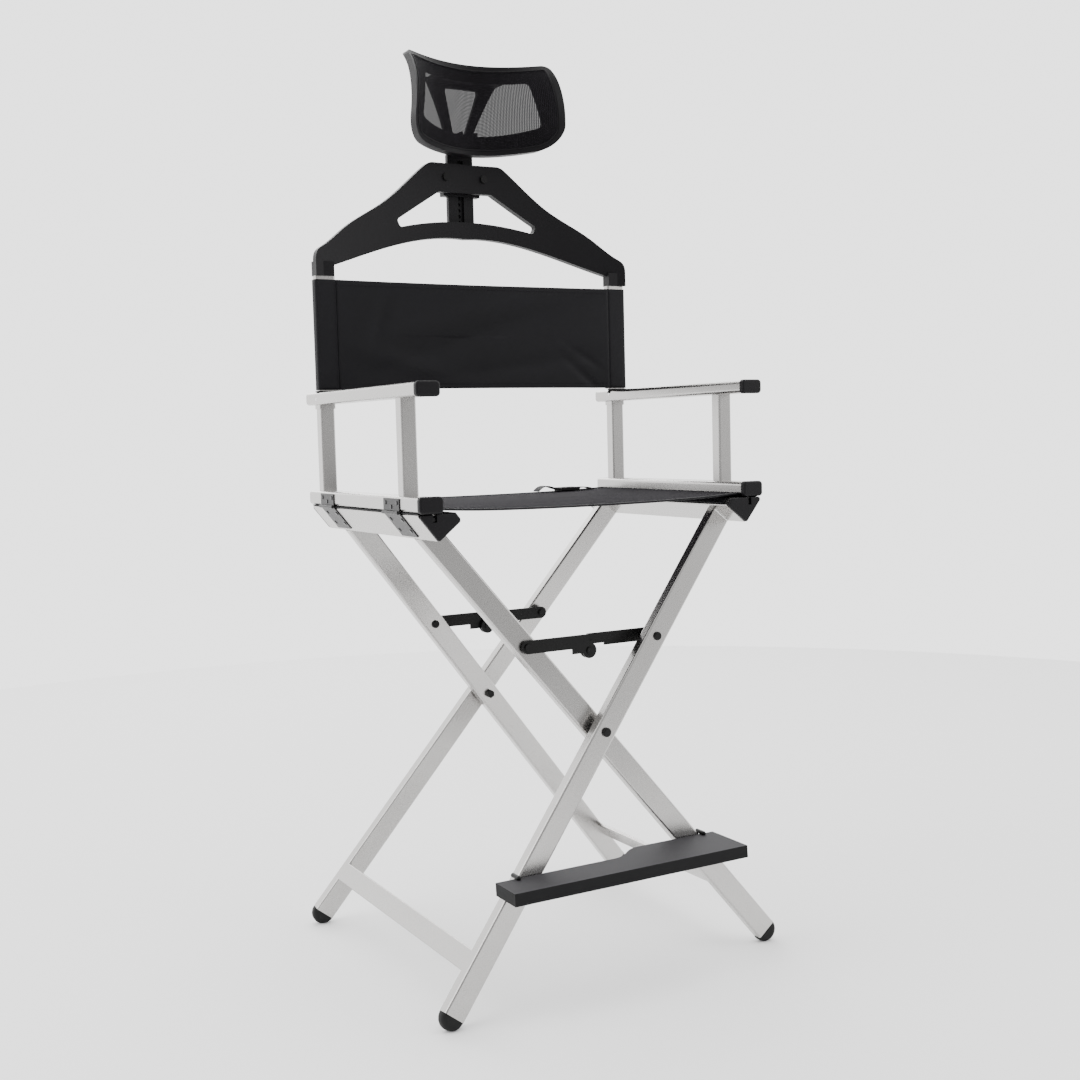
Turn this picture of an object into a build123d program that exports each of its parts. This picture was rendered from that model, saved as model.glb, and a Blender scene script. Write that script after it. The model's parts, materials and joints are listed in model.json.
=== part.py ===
from build123d import *

import os
from math import atan2, cos, degrees, radians, sin, sqrt, tan

# Folding makeup chair. Millimetres, X across, front towards -Y, Z up, floor at Z = 0.

# Fits
touch = 0.0
running_gap = 0.05
slide_gap = 0.1
cloth_gap = 0.2
layer_gap = 0.2
half = 0.5
twice = 2.0

# Leg frames
leg_lean = 38.68
leg_spread_share = 0.101
pivot_height = 393.0
leg_width = 37.0
leg_depth = 20.0
leg_wall = 1.6
leg_corner = 3.5
leg_below = 478.5
leg_above = 417.0
inner_leg_y = 183.0
leg_frame_step = 32.0

# Rubber feet
foot_radius = 19.9
foot_lip = 0.3
foot_round = 8.0
foot_plug = 24.0

# Stretcher between the two legs of a frame
stretcher_reach = 400.5
stretcher_height = 33.0
stretcher_depth = 8.5
stretcher_wall = 1.4
stretcher_corner = 2.0

# Scissor pivots
pivot_bolt_radius = 4.0
pivot_head_radius = 7.4
pivot_head_depth = 4.0
pivot_head_round = 2.5
pivot_nut_radius = 7.5
pivot_nut_sides = 6
pivot_nut_depth = 6.0

# Seat rails on top of the legs
seat_rail_lip = 29.0
seat_rail_top = 748.0
seat_rail_wall = 2.0
seat_rail_round = 2.0
inner_rail_half = 216.3
outer_rail_half = 227.2
seat_cap_plate = 6.0
seat_cap_plug = 14.0
seat_cap_round = 4.0
seat_notch_width = 6.4
seat_notch_depth = 12.0
seat_notch_inset = 30.0
cap_screw_drop = 8.0
cap_screw_head = 2.8
cap_screw_head_depth = 2.2
cap_screw_shank = 1.4
cap_screw_length = 9.0

# Armrest frames
rail_outer = 308.3
rail_width = 36.6
rail_wall = 1.8
rail_round = 6.0
lower_rail_bottom = 750.0
lower_rail_height = 23.2
upper_rail_bottom = 918.2
upper_rail_height = 20.9
rail_front = 223.5
rail_rear = 221.3
rail_cap_length = 9.1
rail_cap_rim = 0.9
rail_cap_round = 3.2
rail_cap_plug = 15.0
rail_plug_plate = 2.0
rail_plug_length = 12.0
rail_plug_hole = 1.7
arm_post_width = 25.1
arm_post_depth = 21.8
arm_post_wall = 1.5
arm_post_corner = 3.0
arm_post_inset = 6.5
front_post_face = 159.8
rear_post_face = 172.7
post_collar_height = 7.0
post_collar_rim = 1.6

# Hinges between the armrest frames and the seat rails
hinge_height = 749.0
hinge_offset = 3.0
hinge_radius = 2.6
hinge_pin_radius = 1.5
hinge_length = 58.0
front_hinge_y = 130.0
rear_hinge_y = 137.5
hinge_leaf = 1.6
hinge_knuckles = 3
upper_leaf_height = 18.5
lower_leaf_length = 46.0
hinge_leaf_gap = 0.3
hinge_screw_radius = 1.75
hinge_screw_head = 3.2
hinge_screw_head_depth = 1.1
hinge_screw_length = 7.0
hinge_screw_spread = 21.0
upper_screw_high = 13.5
upper_screw_low = 7.5
lower_screw_high = 12.0
lower_screw_low = 34.0

# Back posts and their sockets
back_post_centre = 286.5
back_post_width = 36.0
back_post_depth = 15.0
back_post_wall = 1.5
back_post_corner = 4.0
back_post_front = 168.0
back_post_top = 1132.0
socket_flange = 2.0
socket_rim = 2.0
socket_plug = 26.0

# Cloth
canvas = 1.3
backrest_bottom = 942.6
backrest_top = 1126.0
seat_cloth_level = 753.4
seat_cloth_front = 220.0
seat_cloth_rear = 214.0
seat_bead_radius = 3.6
seat_flap_drop = 8.0
seat_hem_width = 12.0
seat_hem_drop = 1.2
seat_tongue_inset = 1.2

# Strap and buckle on the rear of the seat
strap_width = 22.0
strap_cloth = 1.5
strap_y = 190.0
strap_left = 118.0
strap_right = 236.0
strap_hump = 9.0
buckle_left = 164.0
buckle_width = 40.0
buckle_depth = 30.0
buckle_height = 6.5
buckle_bar = 6.0

# Brace links
brace_reach = 178.0
brace_knuckle_height = 516.5
brace_sheet = 3.0
brace_disc_radius = 10.5
brace_knuckle_radius = 12.5
brace_neck_cut = 4.0
brace_neck_start = 12.0
brace_neck_end = 32.0
brace_stop_gap = 0.4
brace_washer_radius = 6.5
brace_pin_radius = 2.6
brace_head_radius = 5.6
brace_head_depth = 2.2
leg_head_radius = 7.0
leg_head_depth = 2.6
leg_head_round = 1.8
brace_tail_depth = 1.8
brace_nut_depth = 3.4
brace_tab_reach = 31.0
brace_tab_height = 10.0
brace_tab_rise = 1.6

# Headrest yoke
yoke_front = 212.0
yoke_bow = 937.0
yoke_thickness = 14.0
yoke_foot_front = 166.0
yoke_foot_depth = 17.0
yoke_foot_inner = 271.0
yoke_foot_outer = 304.8
yoke_foot_height = 24.0
yoke_edge_round = 2.5
yoke_crown_half = 62.0
yoke_crown = 1342.5
yoke_shoulder_half = 80.0
yoke_shoulder = 1335.0
yoke_slope_half = 160.0
yoke_slope = 1268.0
yoke_flank_half = 242.0
yoke_flank = 1217.5
yoke_hip_half = 289.0
yoke_hip = 1182.0
yoke_side = 1156.0
arch_side = 1150.0
arch_low_half = 208.0
arch_low = 1172.0
arch_mid_half = 140.0
arch_mid = 1194.0
arch_top = 1211.0
window_top_half = 52.0
window_top = 1292.0
window_side_half = 138.0
window_side_top = 1238.0
window_side_low_half = 132.0
window_side_low = 1225.0
window_low_middle = 1241.0
window_round = 5.0
spigot_length = 22.0
spigot_margin_share = 1.08
lift_off_travel = 517.0
fold_travel = 32.0

# Headrest stem and its guide
yoke_bolt_half = 37.0
yoke_bolt_height = 1318.5
yoke_bolt_radius = 3.0
yoke_bolt_head = 6.5
yoke_bolt_head_depth = 3.5
yoke_bolt_grip = 11.0
guide_half = 46.0
guide_lip_half = 36.0
guide_bottom = 1288.0
guide_shoulder = 1297.0
guide_top = 1340.0
guide_wall = 3.0
stem_half = 25.0
stem_thickness = 9.0
stem_bottom = 1222.0
stem_top = 1366.0
stem_corner = 6.0
stem_slot_half = 5.5
stem_slot_bottom = 1238.0
stem_slot_top = 1352.0
stem_tooth_pitch = 10.6
stem_tooth_radius = 3.4
stem_tooth_floor = 1.5
stem_neck_half = 11.0
stem_neck_radius = 9.0
height_travel = 55.0

# Headrest pad
tilt_height = 1380.0
tilt_pin_radius = 3.0
tilt_pin_head = 6.0
tilt_pin_head_depth = 2.0
tilt_ear = 5.0
tilt_ear_radius = 9.0
pad_half_low = 146.0
pad_half_high = 137.0
pad_low = 1366.0
pad_high = 1514.0
pad_low_dip = 11.6
pad_high_dip = 4.6
pad_low_corner = 38.0
pad_high_corner = 11.0
pad_middle_y = 185.0
pad_sag_half = 150.0
pad_levels = (1345.0, 1380.0, 1400.0, 1430.0, 1460.0, 1490.0, 1505.0, 1518.0)
pad_sags = (84.0, 90.0, 96.0, 100.0, 95.0, 77.5, 60.5, 45.0)
pad_shares = (-1.0, -0.75, -0.5, -0.25, 0.0, 0.25, 0.5, 0.75, 1.0)
pad_rim_width = 9.0
pad_rim_depth = 22.0
pad_mesh = 1.3
pad_frame = 4.0
pad_window_half_low = 116.0
pad_window_half_high = 101.0
pad_window_low = 1401.0
pad_window_dip = 14.0
pad_window_high = 1480.0
pad_window_round = 8.0
rib_low_level = 1398.0
rib_low_inner = 12.0
rib_low_outer = 28.0
rib_high_level = 1475.0
rib_high_inner = 34.0
rib_high_outer = 64.0
rib_hollow = 3.0
rib_depth = 8.0
rib_low_y = 229.0
rib_high_y = 214.0
rib_round = 5.0
hub_low = 1389.6
hub_high = 1400.0
shelf_low = 1482.0
shelf_high = 1489.0

# Footrest
board_top = 200.0
board_thickness = 19.0
board_left = 216.0
board_right = 204.0
board_front = 315.0
board_gap = 0.3
board_curve_start = -10.0
board_curve_end = 60.0
board_round = 2.0
hook_peg_radius = 3.5
hook_peg_rise = 2.5
hook_reach = 11.0
hook_plate = 3.0
hook_plate_width = 26.0
hook_plate_length = 44.0
hook_stem_inset = 6.0
hook_screw_radius = 2.0
hook_screw_head = 4.0
hook_screw_head_depth = 1.4
hook_screw_length = 12.0
hook_screw_spread = 8.0

# Worked out from the sizes above
sin_lean = sin(radians(leg_lean))
cos_lean = cos(radians(leg_lean))
outer_leg_y = inner_leg_y + leg_frame_step
leg_stretch = sqrt(leg_spread_share**2 + cos_lean**2 + sin_lean**2)
leg_half_depth = leg_depth * leg_stretch * half
hinge_half = rail_outer + hinge_offset
rail_centre = rail_outer - rail_width * half
lower_rail_top = lower_rail_bottom + lower_rail_height
upper_rail_top = upper_rail_bottom + upper_rail_height
rail_reach = rail_front + rail_rear
brace_half = brace_reach * sin_lean
brace_pin_height = pivot_height + brace_reach * cos_lean
brace_drop = brace_pin_height - brace_knuckle_height
brace_length = sqrt(brace_half**2 + brace_drop**2)
far = pivot_height + seat_rail_top


def box_between(x_low, x_high, y_low, y_high, z_low, z_high):
    size = Box(x_high - x_low, y_high - y_low, z_high - z_low)
    return Pos((x_low + x_high) * half, (y_low + y_high) * half, (z_low + z_high) * half) * size


def rod_y(x, z, radius, y_low, y_high):
    plane = Plane(origin=(x, y_low, z), z_dir=(0, 1, 0))
    return extrude(plane * Circle(radius), amount=y_high - y_low)


def rod_x(y, z, radius, x_low, x_high):
    plane = Plane(origin=(x_low, y, z), z_dir=(1, 0, 0))
    return extrude(plane * Circle(radius), amount=x_high - x_low)


def rod_z(x, y, radius, z_low, z_high):
    plane = Plane(origin=(x, y, z_low), z_dir=(0, 0, 1))
    return extrude(plane * Circle(radius), amount=z_high - z_low)


def across_span(face, y_low, y_high):
    plane = Plane(origin=(0, (y_low + y_high) * half, 0), x_dir=(1, 0, 0), z_dir=(0, -1, 0))
    return extrude(plane * face, amount=(y_high - y_low) * half, both=True)


def tube_y(x, z, width, height, corner, wall, y_low, y_high):
    plane = Plane(origin=(x, y_low, z), x_dir=(1, 0, 0), z_dir=(0, 1, 0))
    outer = RectangleRounded(width, height, corner)
    inner = RectangleRounded(width - twice * wall, height - twice * wall, corner - wall)
    return extrude(plane * (outer - inner), amount=y_high - y_low)


def bar_y(x, z, width, height, corner, y_low, y_high):
    plane = Plane(origin=(x, y_low, z), x_dir=(1, 0, 0), z_dir=(0, 1, 0))
    return extrude(plane * RectangleRounded(width, height, corner), amount=y_high - y_low)


def tube_z(x, y, width, depth, corner, wall, z_low, z_high):
    plane = Plane(origin=(x, y, z_low))
    outer = RectangleRounded(width, depth, corner)
    inner = RectangleRounded(width - twice * wall, depth - twice * wall, corner - wall)
    return extrude(plane * (outer - inner), amount=z_high - z_low)


def bar_z(x, y, width, depth, corner, z_low, z_high):
    plane = Plane(origin=(x, y, z_low))
    return extrude(plane * RectangleRounded(width, depth, corner), amount=z_high - z_low)


def flip(shape):
    return mirror(shape, about=Plane.YZ)


def swap_ends(shape):
    return mirror(shape, about=Plane.XZ)


def group(solids):
    return Compound(children=[solid for solid in solids])


# Leg frames are drawn with their top on the left. Along a leg is s, across it is n.
def frame_x(s, n):
    return n * cos_lean - s * sin_lean


def frame_z(s, n):
    return pivot_height + s * cos_lean + n * sin_lean


def frame_plane(y):
    return Plane(origin=(0, y, pivot_height), x_dir=(cos_lean, 0, sin_lean), z_dir=(0, -1, 0))


def frame_prism(sketch, y_low, y_high):
    return extrude(frame_plane(y_high) * sketch, amount=y_high - y_low)


def frame_block(n_low, n_high, s_low, s_high, y_low, y_high):
    spot = Pos((n_low + n_high) * half, (s_low + s_high) * half)
    return frame_prism(spot * Rectangle(n_high - n_low, s_high - s_low), y_low, y_high)


def front_leg_y(leg_y, s):
    return leg_spread_share * s - leg_y


def leg_plane(leg_y):
    axis = (-sin_lean, leg_spread_share, cos_lean)
    return Plane(origin=(0, -leg_y, pivot_height), x_dir=(cos_lean, 0, sin_lean), z_dir=axis)


def leg_bar(leg_y, width, depth, corner, s_low, s_high):
    start = leg_plane(leg_y).offset(s_low * leg_stretch)
    return extrude(start * RectangleRounded(width, depth, corner), amount=(s_high - s_low) * leg_stretch)


def above_leg():
    return frame_block(-leg_width, leg_width, leg_above, leg_above + leg_width, -far, far)


def leg_solid(leg_y):
    bar = leg_bar(leg_y, leg_width, leg_depth, leg_corner, -leg_below, leg_above + leg_width * half)
    return bar - above_leg()


def leg_tube(leg_y):
    width = leg_width - twice * leg_wall
    depth = leg_depth - twice * leg_wall
    bore = leg_bar(leg_y, width, depth, leg_corner - leg_wall, -leg_below, leg_above + leg_width)
    pin_x = frame_x(brace_reach, touch)
    pin_z = frame_z(brace_reach, touch)
    tube = leg_solid(leg_y) - bore
    tube -= rod_y(touch, pivot_height, pivot_bolt_radius + running_gap, -far, far)
    tube -= rod_y(pin_x, pin_z, brace_pin_radius, -far, far)
    return tube


def foot(leg_y):
    end = leg_plane(leg_y).offset(-leg_below * leg_stretch)
    across = Plane(origin=end.origin, x_dir=end.x_dir, z_dir=end.y_dir)
    boot = across * Cylinder(foot_radius, leg_depth + twice * foot_lip)
    boot = fillet(boot.edges().filter_by(GeomType.CIRCLE), foot_round)
    boot -= end * Pos(0, 0, foot_radius) * Box(twice * leg_width, twice * leg_width, twice * foot_radius)
    boot -= Pos(0, 0, -far * half) * Box(twice * far, twice * far, far)
    width = leg_width - twice * leg_wall - twice * slide_gap
    depth = leg_depth - twice * leg_wall - twice * slide_gap
    plug = extrude(end * RectangleRounded(width, depth, leg_corner - leg_wall), amount=foot_plug)
    return boot + plug


def stretcher(leg_y):
    spot = Pos(leg_width * half - stretcher_depth * half, -stretcher_reach)
    outer = spot * RectangleRounded(stretcher_depth, stretcher_height, stretcher_corner)
    bore_depth = stretcher_depth - twice * stretcher_wall
    bore_height = stretcher_height - twice * stretcher_wall
    bore = spot * RectangleRounded(bore_depth, bore_height, stretcher_corner - stretcher_wall)
    reach = -front_leg_y(leg_y, -stretcher_reach)
    tube = frame_prism(outer - bore, -reach, reach)
    leg = leg_solid(leg_y)
    return tube - leg - swap_ends(leg)


# Seat rails
def seat_rail_s(n):
    return (seat_rail_top - pivot_height - n * sin_lean) / cos_lean


def seat_rail_face():
    outer_n = -leg_width * half
    return Polygon(
        (outer_n, leg_above),
        (seat_rail_lip, leg_above),
        (seat_rail_lip, seat_rail_s(seat_rail_lip)),
        (outer_n, seat_rail_s(outer_n)),
        align=None,
    )


def seat_rail_bore():
    return offset(seat_rail_face(), amount=-seat_rail_wall, kind=Kind.INTERSECTION)


def lower_screw_spots():
    spots = []
    for centre in (-front_hinge_y, rear_hinge_y):
        for side in (-1, 1):
            for drop in (lower_screw_high, lower_screw_low):
                spots.append((seat_rail_s(-leg_width * half) - drop, centre + side * hinge_screw_spread))
    return spots


def outward_rod(s, y, radius, depth_in, depth_out):
    surface_n = -leg_width * half
    start = (frame_x(s, surface_n + depth_in), y, frame_z(s, surface_n + depth_in))
    plane = Plane(origin=start, z_dir=(-cos_lean, 0, -sin_lean))
    return extrude(plane * Circle(radius), amount=depth_in + depth_out)


def seat_rail(rail_half):
    outer = fillet(seat_rail_face().vertices(), seat_rail_round)
    rail = frame_prism(outer - seat_rail_bore(), -rail_half, rail_half)
    for s, y in lower_screw_spots():
        rail -= outward_rod(s, y, hinge_screw_radius, hinge_screw_length, leg_width)
    return rail


def notch_centre_x():
    return -hinge_half + seat_notch_inset


def seat_cap(rail_half):
    face = seat_rail_face()
    plate_face = fillet(face.vertices(), seat_cap_round)
    front = -rail_half
    plate = frame_prism(plate_face, front - seat_cap_plate, front)
    plate = fillet(plate.faces().sort_by(Axis.Y)[0].edges(), seat_rail_round)
    notch_x = notch_centre_x()
    notch_low = seat_rail_top - seat_notch_depth
    side = seat_notch_width * half
    plate -= box_between(notch_x - side, notch_x + side, front - leg_width, front, notch_low, far)
    plug_face = offset(seat_rail_bore(), amount=-slide_gap, kind=Kind.INTERSECTION)
    plug = frame_prism(plug_face, front, front + seat_cap_plug)
    cap = plate + plug
    hole_z = seat_rail_top - cap_screw_drop
    cap -= rod_y(notch_x, hole_z, cap_screw_shank, front, front + cap_screw_length)
    return cap


def cap_screw(rail_half):
    front = -rail_half
    x = notch_centre_x()
    z = seat_rail_top - cap_screw_drop
    head = rod_y(x, z, cap_screw_head, front - cap_screw_head_depth, front)
    return head + rod_y(x, z, cap_screw_shank, front, front + cap_screw_length)


def seat_rail_screws(rail_half):
    front = cap_screw(rail_half)
    solids = [front, swap_ends(front)]
    for s, y in lower_screw_spots():
        head = outward_rod(s, y, hinge_screw_head, -hinge_leaf, hinge_leaf + hinge_screw_head_depth)
        shank = outward_rod(s, y, hinge_screw_radius, hinge_screw_length, hinge_leaf)
        solids.append(head + shank)
    return group(solids)


# Hinges
def knuckle_span(centre, index):
    width = hinge_length / hinge_knuckles
    low = centre - hinge_length * half + width * index
    return low + layer_gap * half, low + width - layer_gap * half


def hinge_lower_leaf(centre):
    n_out = -leg_width * half - hinge_leaf
    n_in = -leg_width * half
    hinge_s = hinge_half * sin_lean + (hinge_height - pivot_height) * cos_lean
    stop = hinge_s - hinge_radius - hinge_leaf_gap
    low = seat_rail_s(n_in) - lower_leaf_length
    leaf = frame_block(n_out, n_in, low, stop, centre - hinge_length * half, centre + hinge_length * half)
    y_low, y_high = knuckle_span(centre, 1)
    leaf += frame_block(n_out, n_in, stop, hinge_s - hinge_radius * half, y_low, y_high)
    leaf += rod_y(-hinge_half, hinge_height, hinge_radius, y_low, y_high)
    leaf -= rod_y(-hinge_half, hinge_height, hinge_pin_radius + running_gap, y_low, y_high)
    for s, y in lower_screw_spots():
        leaf -= outward_rod(s, y, hinge_screw_radius, touch, leg_width)
    return leaf


def upper_screw_spots():
    spots = []
    for centre in (-front_hinge_y, rear_hinge_y):
        spots.append((centre - hinge_screw_spread, lower_rail_bottom + upper_screw_high))
        spots.append((centre + hinge_screw_spread, lower_rail_bottom + upper_screw_high))
        spots.append((centre, lower_rail_bottom + upper_screw_low))
    return spots


def hinge_upper_leaf(centre):
    start = hinge_height + hinge_radius + hinge_leaf_gap
    top = lower_rail_bottom + upper_leaf_height + hinge_leaf
    half_length = hinge_length * half
    outer = -rail_outer - hinge_leaf
    leaf = box_between(outer, -rail_outer, centre - half_length, centre + half_length, start, top)
    ends = (knuckle_span(centre, 0), knuckle_span(centre, hinge_knuckles - 1))
    for y_low, y_high in ends:
        leaf += box_between(outer, -rail_outer, y_low, y_high, hinge_height, start)
        leaf += rod_y(-hinge_half, hinge_height, hinge_radius, y_low, y_high)
    leaf += rod_y(-hinge_half, hinge_height, hinge_pin_radius, centre - half_length, centre + half_length)
    for y, z in upper_screw_spots():
        leaf -= rod_x(y, z, hinge_screw_radius, -rail_outer - leg_width, -rail_outer)
    return leaf


def upper_screws():
    solids = []
    for y, z in upper_screw_spots():
        leaf_face = -rail_outer - hinge_leaf
        head = rod_x(y, z, hinge_screw_head, leaf_face - hinge_screw_head_depth, leaf_face)
        shank = rod_x(y, z, hinge_screw_radius, leaf_face, leaf_face + hinge_screw_length)
        solids.append(head + shank)
    return group(solids)


# Armrest frames, drawn on the left
def arm_rail(bottom, height):
    return tube_y(-rail_centre, bottom + height * half, rail_width, height, rail_round, rail_wall,
                  -rail_front, rail_rear)


def lower_rail():
    rail = arm_rail(lower_rail_bottom, lower_rail_height)
    for y, z in upper_screw_spots():
        rail -= rod_x(y, z, hinge_screw_radius, -rail_outer - rail_wall, -rail_outer + rail_width * half)
    return rail


def upper_rail():
    rail = arm_rail(upper_rail_bottom, upper_rail_height)
    width = back_post_width - twice * back_post_wall - twice * slide_gap
    depth = back_post_depth - twice * back_post_wall - twice * slide_gap
    corner = back_post_corner - back_post_wall
    y = back_post_front + back_post_depth * half
    return rail - bar_z(-back_post_centre, y, width, depth, corner, upper_rail_top - rail_round, far)


def rail_plug(bottom, height, length, y_low, y_high):
    width = rail_width - twice * rail_wall - twice * slide_gap
    tall = height - twice * rail_wall - twice * slide_gap
    return bar_y(-rail_centre, bottom + height * half, width, tall, rail_round - rail_wall, y_low, y_high)


def rail_cap(bottom, height):
    front = -rail_front
    cap = bar_y(-rail_centre, bottom + height * half, rail_width + twice * rail_cap_rim,
                height + twice * rail_cap_rim, rail_round, front - rail_cap_length, front)
    cap = fillet(cap.faces().sort_by(Axis.Y)[0].edges(), rail_cap_round)
    return cap + rail_plug(bottom, height, rail_cap_plug, front, front + rail_cap_plug)


def rear_plug(bottom, height):
    plate = bar_y(-rail_centre, bottom + height * half, rail_width, height, rail_round,
                  rail_rear, rail_rear + rail_plug_plate)
    plug = plate + rail_plug(bottom, height, rail_plug_length, rail_rear - rail_plug_length, rail_rear)
    return plug - rod_y(-rail_centre, bottom + height * half, rail_plug_hole,
                        rail_rear - rail_plug_length, rail_rear + rail_plug_plate)


def rail_pair(maker):
    lower = maker(lower_rail_bottom, lower_rail_height)
    upper = maker(upper_rail_bottom, upper_rail_height)
    return group([lower, upper])


def arm_post_x():
    return -rail_outer + arm_post_inset + arm_post_width * half


def arm_post(face_y):
    return tube_z(arm_post_x(), face_y + arm_post_depth * half, arm_post_width, arm_post_depth,
                  arm_post_corner, arm_post_wall, lower_rail_top, upper_rail_bottom)


def post_collar(face_y):
    width = arm_post_width + twice * post_collar_rim
    depth = arm_post_depth + twice * post_collar_rim
    x = arm_post_x()
    y = face_y + arm_post_depth * half
    low = upper_rail_bottom - post_collar_height
    collar = bar_z(x, y, width, depth, arm_post_corner, low, upper_rail_bottom)
    return collar - bar_z(x, y, arm_post_width, arm_post_depth, arm_post_corner, low, upper_rail_bottom)


def back_post():
    y = back_post_front + back_post_depth * half
    return tube_z(-back_post_centre, y, back_post_width, back_post_depth, back_post_corner,
                  back_post_wall, upper_rail_top + socket_flange, back_post_top)


def post_socket():
    y = back_post_front + back_post_depth * half
    flange_width = rail_width - twice * rail_wall
    flange = bar_z(-rail_centre, y, flange_width, back_post_depth + twice * socket_rim, back_post_corner,
                   upper_rail_top, upper_rail_top + socket_flange)
    width = back_post_width - twice * back_post_wall - twice * slide_gap
    depth = back_post_depth - twice * back_post_wall - twice * slide_gap
    plug = bar_z(-back_post_centre, y, width, depth, back_post_corner - back_post_wall,
                 upper_rail_top + socket_flange, upper_rail_top + socket_flange + socket_plug)
    tail = bar_z(-back_post_centre, y, width, depth, back_post_corner - back_post_wall,
                 upper_rail_top - rail_wall, upper_rail_top)
    rail = arm_rail(upper_rail_bottom, upper_rail_height)
    solid_rail = bar_y(-rail_centre, upper_rail_bottom + upper_rail_height * half, rail_width,
                       upper_rail_height, rail_round, -rail_front, rail_rear)
    tail = tail & solid_rail
    return flange + plug + (tail - (rail - tail))


# Cloth
def backrest_canvas():
    y = back_post_front + back_post_depth * half
    width = back_post_width + twice * canvas
    depth = back_post_depth + twice * canvas
    corner = back_post_corner + canvas
    height = backrest_top - backrest_bottom
    sleeves = []
    for x in (-back_post_centre, back_post_centre):
        outer = Pos(x, y) * RectangleRounded(width, depth, corner)
        inner = Pos(x, y) * RectangleRounded(back_post_width + twice * running_gap,
                                             back_post_depth + twice * running_gap, back_post_corner)
        sleeves.append((outer, inner))
    sheet_y = back_post_front - canvas * half
    face = Pos(0, sheet_y) * Rectangle(twice * back_post_centre, canvas)
    for outer, inner in sleeves:
        face += outer
    for outer, inner in sleeves:
        face -= inner
    return extrude(Plane(origin=(0, 0, backrest_bottom)) * face, amount=height)


def seat_canvas():
    inner_rail = rail_outer - rail_width
    lip_s = seat_rail_s(seat_rail_lip)
    bead_x = seat_bead_radius + cloth_gap - inner_rail
    bead_z = seat_rail_top + seat_bead_radius + cloth_gap
    low = seat_rail_top + cloth_gap
    level = seat_cloth_level - canvas * half
    corner = seat_rail_lip + cloth_gap
    flap_s = lip_s - seat_flap_drop
    side = Pos(bead_x, bead_z) * Circle(seat_bead_radius)
    side += Polygon(
        (seat_tongue_inset - rail_outer, low),
        (frame_x(lip_s, seat_rail_lip) + canvas, low),
        (frame_x(lip_s, seat_rail_lip) + canvas, low + canvas),
        (bead_x, low + canvas),
        (bead_x, lower_rail_bottom),
        (seat_tongue_inset - rail_outer, lower_rail_bottom),
        align=None,
    )
    side += Polygon(
        (frame_x(lip_s, corner), low),
        (frame_x(lip_s, corner) + canvas / cos_lean, low),
        (frame_x(flap_s, corner + canvas), frame_z(flap_s, corner + canvas)),
        (frame_x(flap_s, corner), frame_z(flap_s, corner)),
        align=None,
    )
    face = Pos(0, level) * Rectangle(-twice * bead_x, canvas) + side + mirror(side, about=Plane.YZ)
    cloth = across_span(face, -seat_cloth_front, seat_cloth_rear)
    hem_end = -frame_x(lip_s, seat_rail_lip) - canvas
    hem_low = seat_cloth_level - canvas - seat_hem_drop
    front = -seat_cloth_front
    cloth += box_between(-hem_end, hem_end, front, front + seat_hem_width, hem_low, seat_cloth_level)
    rear = seat_cloth_rear
    cloth += box_between(-hem_end, hem_end, rear - seat_hem_width, rear, hem_low, seat_cloth_level)
    return cloth


def strap_line():
    low = seat_cloth_level
    third = (strap_right - strap_left) / hinge_knuckles
    middle = strap_left + third
    end = strap_left + third + third
    points = [
        (strap_left, low + strap_cloth * half),
        ((strap_left + middle) * half, low + strap_hump),
        (middle + strap_cloth, low + buckle_height * half),
        (end, low + buckle_height * half),
        ((end + strap_right) * half, low + strap_hump * half),
        (strap_right, low + strap_cloth * half),
    ]
    return points


def seat_strap():
    points = strap_line()
    line = Spline(*points)
    rise = Pos(0, strap_cloth) * line
    left = Line(line @ 0, rise @ 0)
    right = Line(line @ 1, rise @ 1)
    face = make_face([line, right, rise, left])
    return across_span(face, strap_y - strap_width * half, strap_y + strap_width * half)


def strap_buckle():
    centre_x = buckle_left + buckle_width * half
    low = seat_cloth_level
    centre = Pos(centre_x, strap_y, low + buckle_height * half)
    body = centre * Box(buckle_width, buckle_depth, buckle_height)
    body = fillet(body.edges(), strap_cloth)
    opening = (buckle_width - buckle_bar * hinge_knuckles) * half
    for side in (-1, 1):
        spot = Pos(side * (opening + buckle_bar) * half, 0, 0)
        body -= centre * spot * Box(opening, strap_width + twice * cloth_gap, twice * buckle_height)
    return body - seat_strap()


# Brace links, drawn at the front
def link_layer(right):
    if right:
        top_s = brace_reach + brace_length + brace_knuckle_radius
        front = front_leg_y(outer_leg_y, top_s) + leg_half_depth + layer_gap
        return front, front + brace_sheet
    across = (leg_width * half + brace_disc_radius * sin_lean) / cos_lean
    low_s = brace_reach - across * sin_lean - brace_disc_radius * cos_lean
    back = front_leg_y(inner_leg_y, low_s) - leg_half_depth - layer_gap
    return back - brace_sheet, back


def link_outline(right):
    length = brace_half - brace_stop_gap
    end = (brace_half, -brace_drop)
    face = Circle(brace_disc_radius)
    face += Pos(length * half, 0) * Rectangle(length, twice * brace_disc_radius)
    neck = Pos(brace_half, -brace_drop * half) * Rectangle(brace_knuckle_radius, brace_drop)
    knuckle = Pos(*end) * Circle(brace_knuckle_radius)
    if right:
        cut_x = brace_half - (brace_neck_start + brace_neck_end) * half
        cut = Pos(cut_x, -brace_disc_radius)
        face -= cut * Rectangle(brace_neck_end - brace_neck_start, twice * brace_neck_cut)
        return face + neck + knuckle
    tab = Pos(brace_half - brace_tab_reach * half, brace_tab_rise - brace_drop)
    return face + neck + knuckle + tab * Rectangle(brace_tab_reach, brace_tab_height)


def brace_link(right):
    front, back = link_layer(right)
    plane = Plane(origin=(-brace_half, back, brace_pin_height), x_dir=(1, 0, 0), z_dir=(0, -1, 0))
    link = extrude(plane * link_outline(right), amount=back - front)
    link -= rod_y(-brace_half, brace_pin_height, brace_pin_radius + running_gap, front, back)
    return flip(link) if right else link


def knuckle_split():
    left_front, left_back = link_layer(False)
    right_front, right_back = link_layer(True)
    return (left_back + right_front) * half


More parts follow.
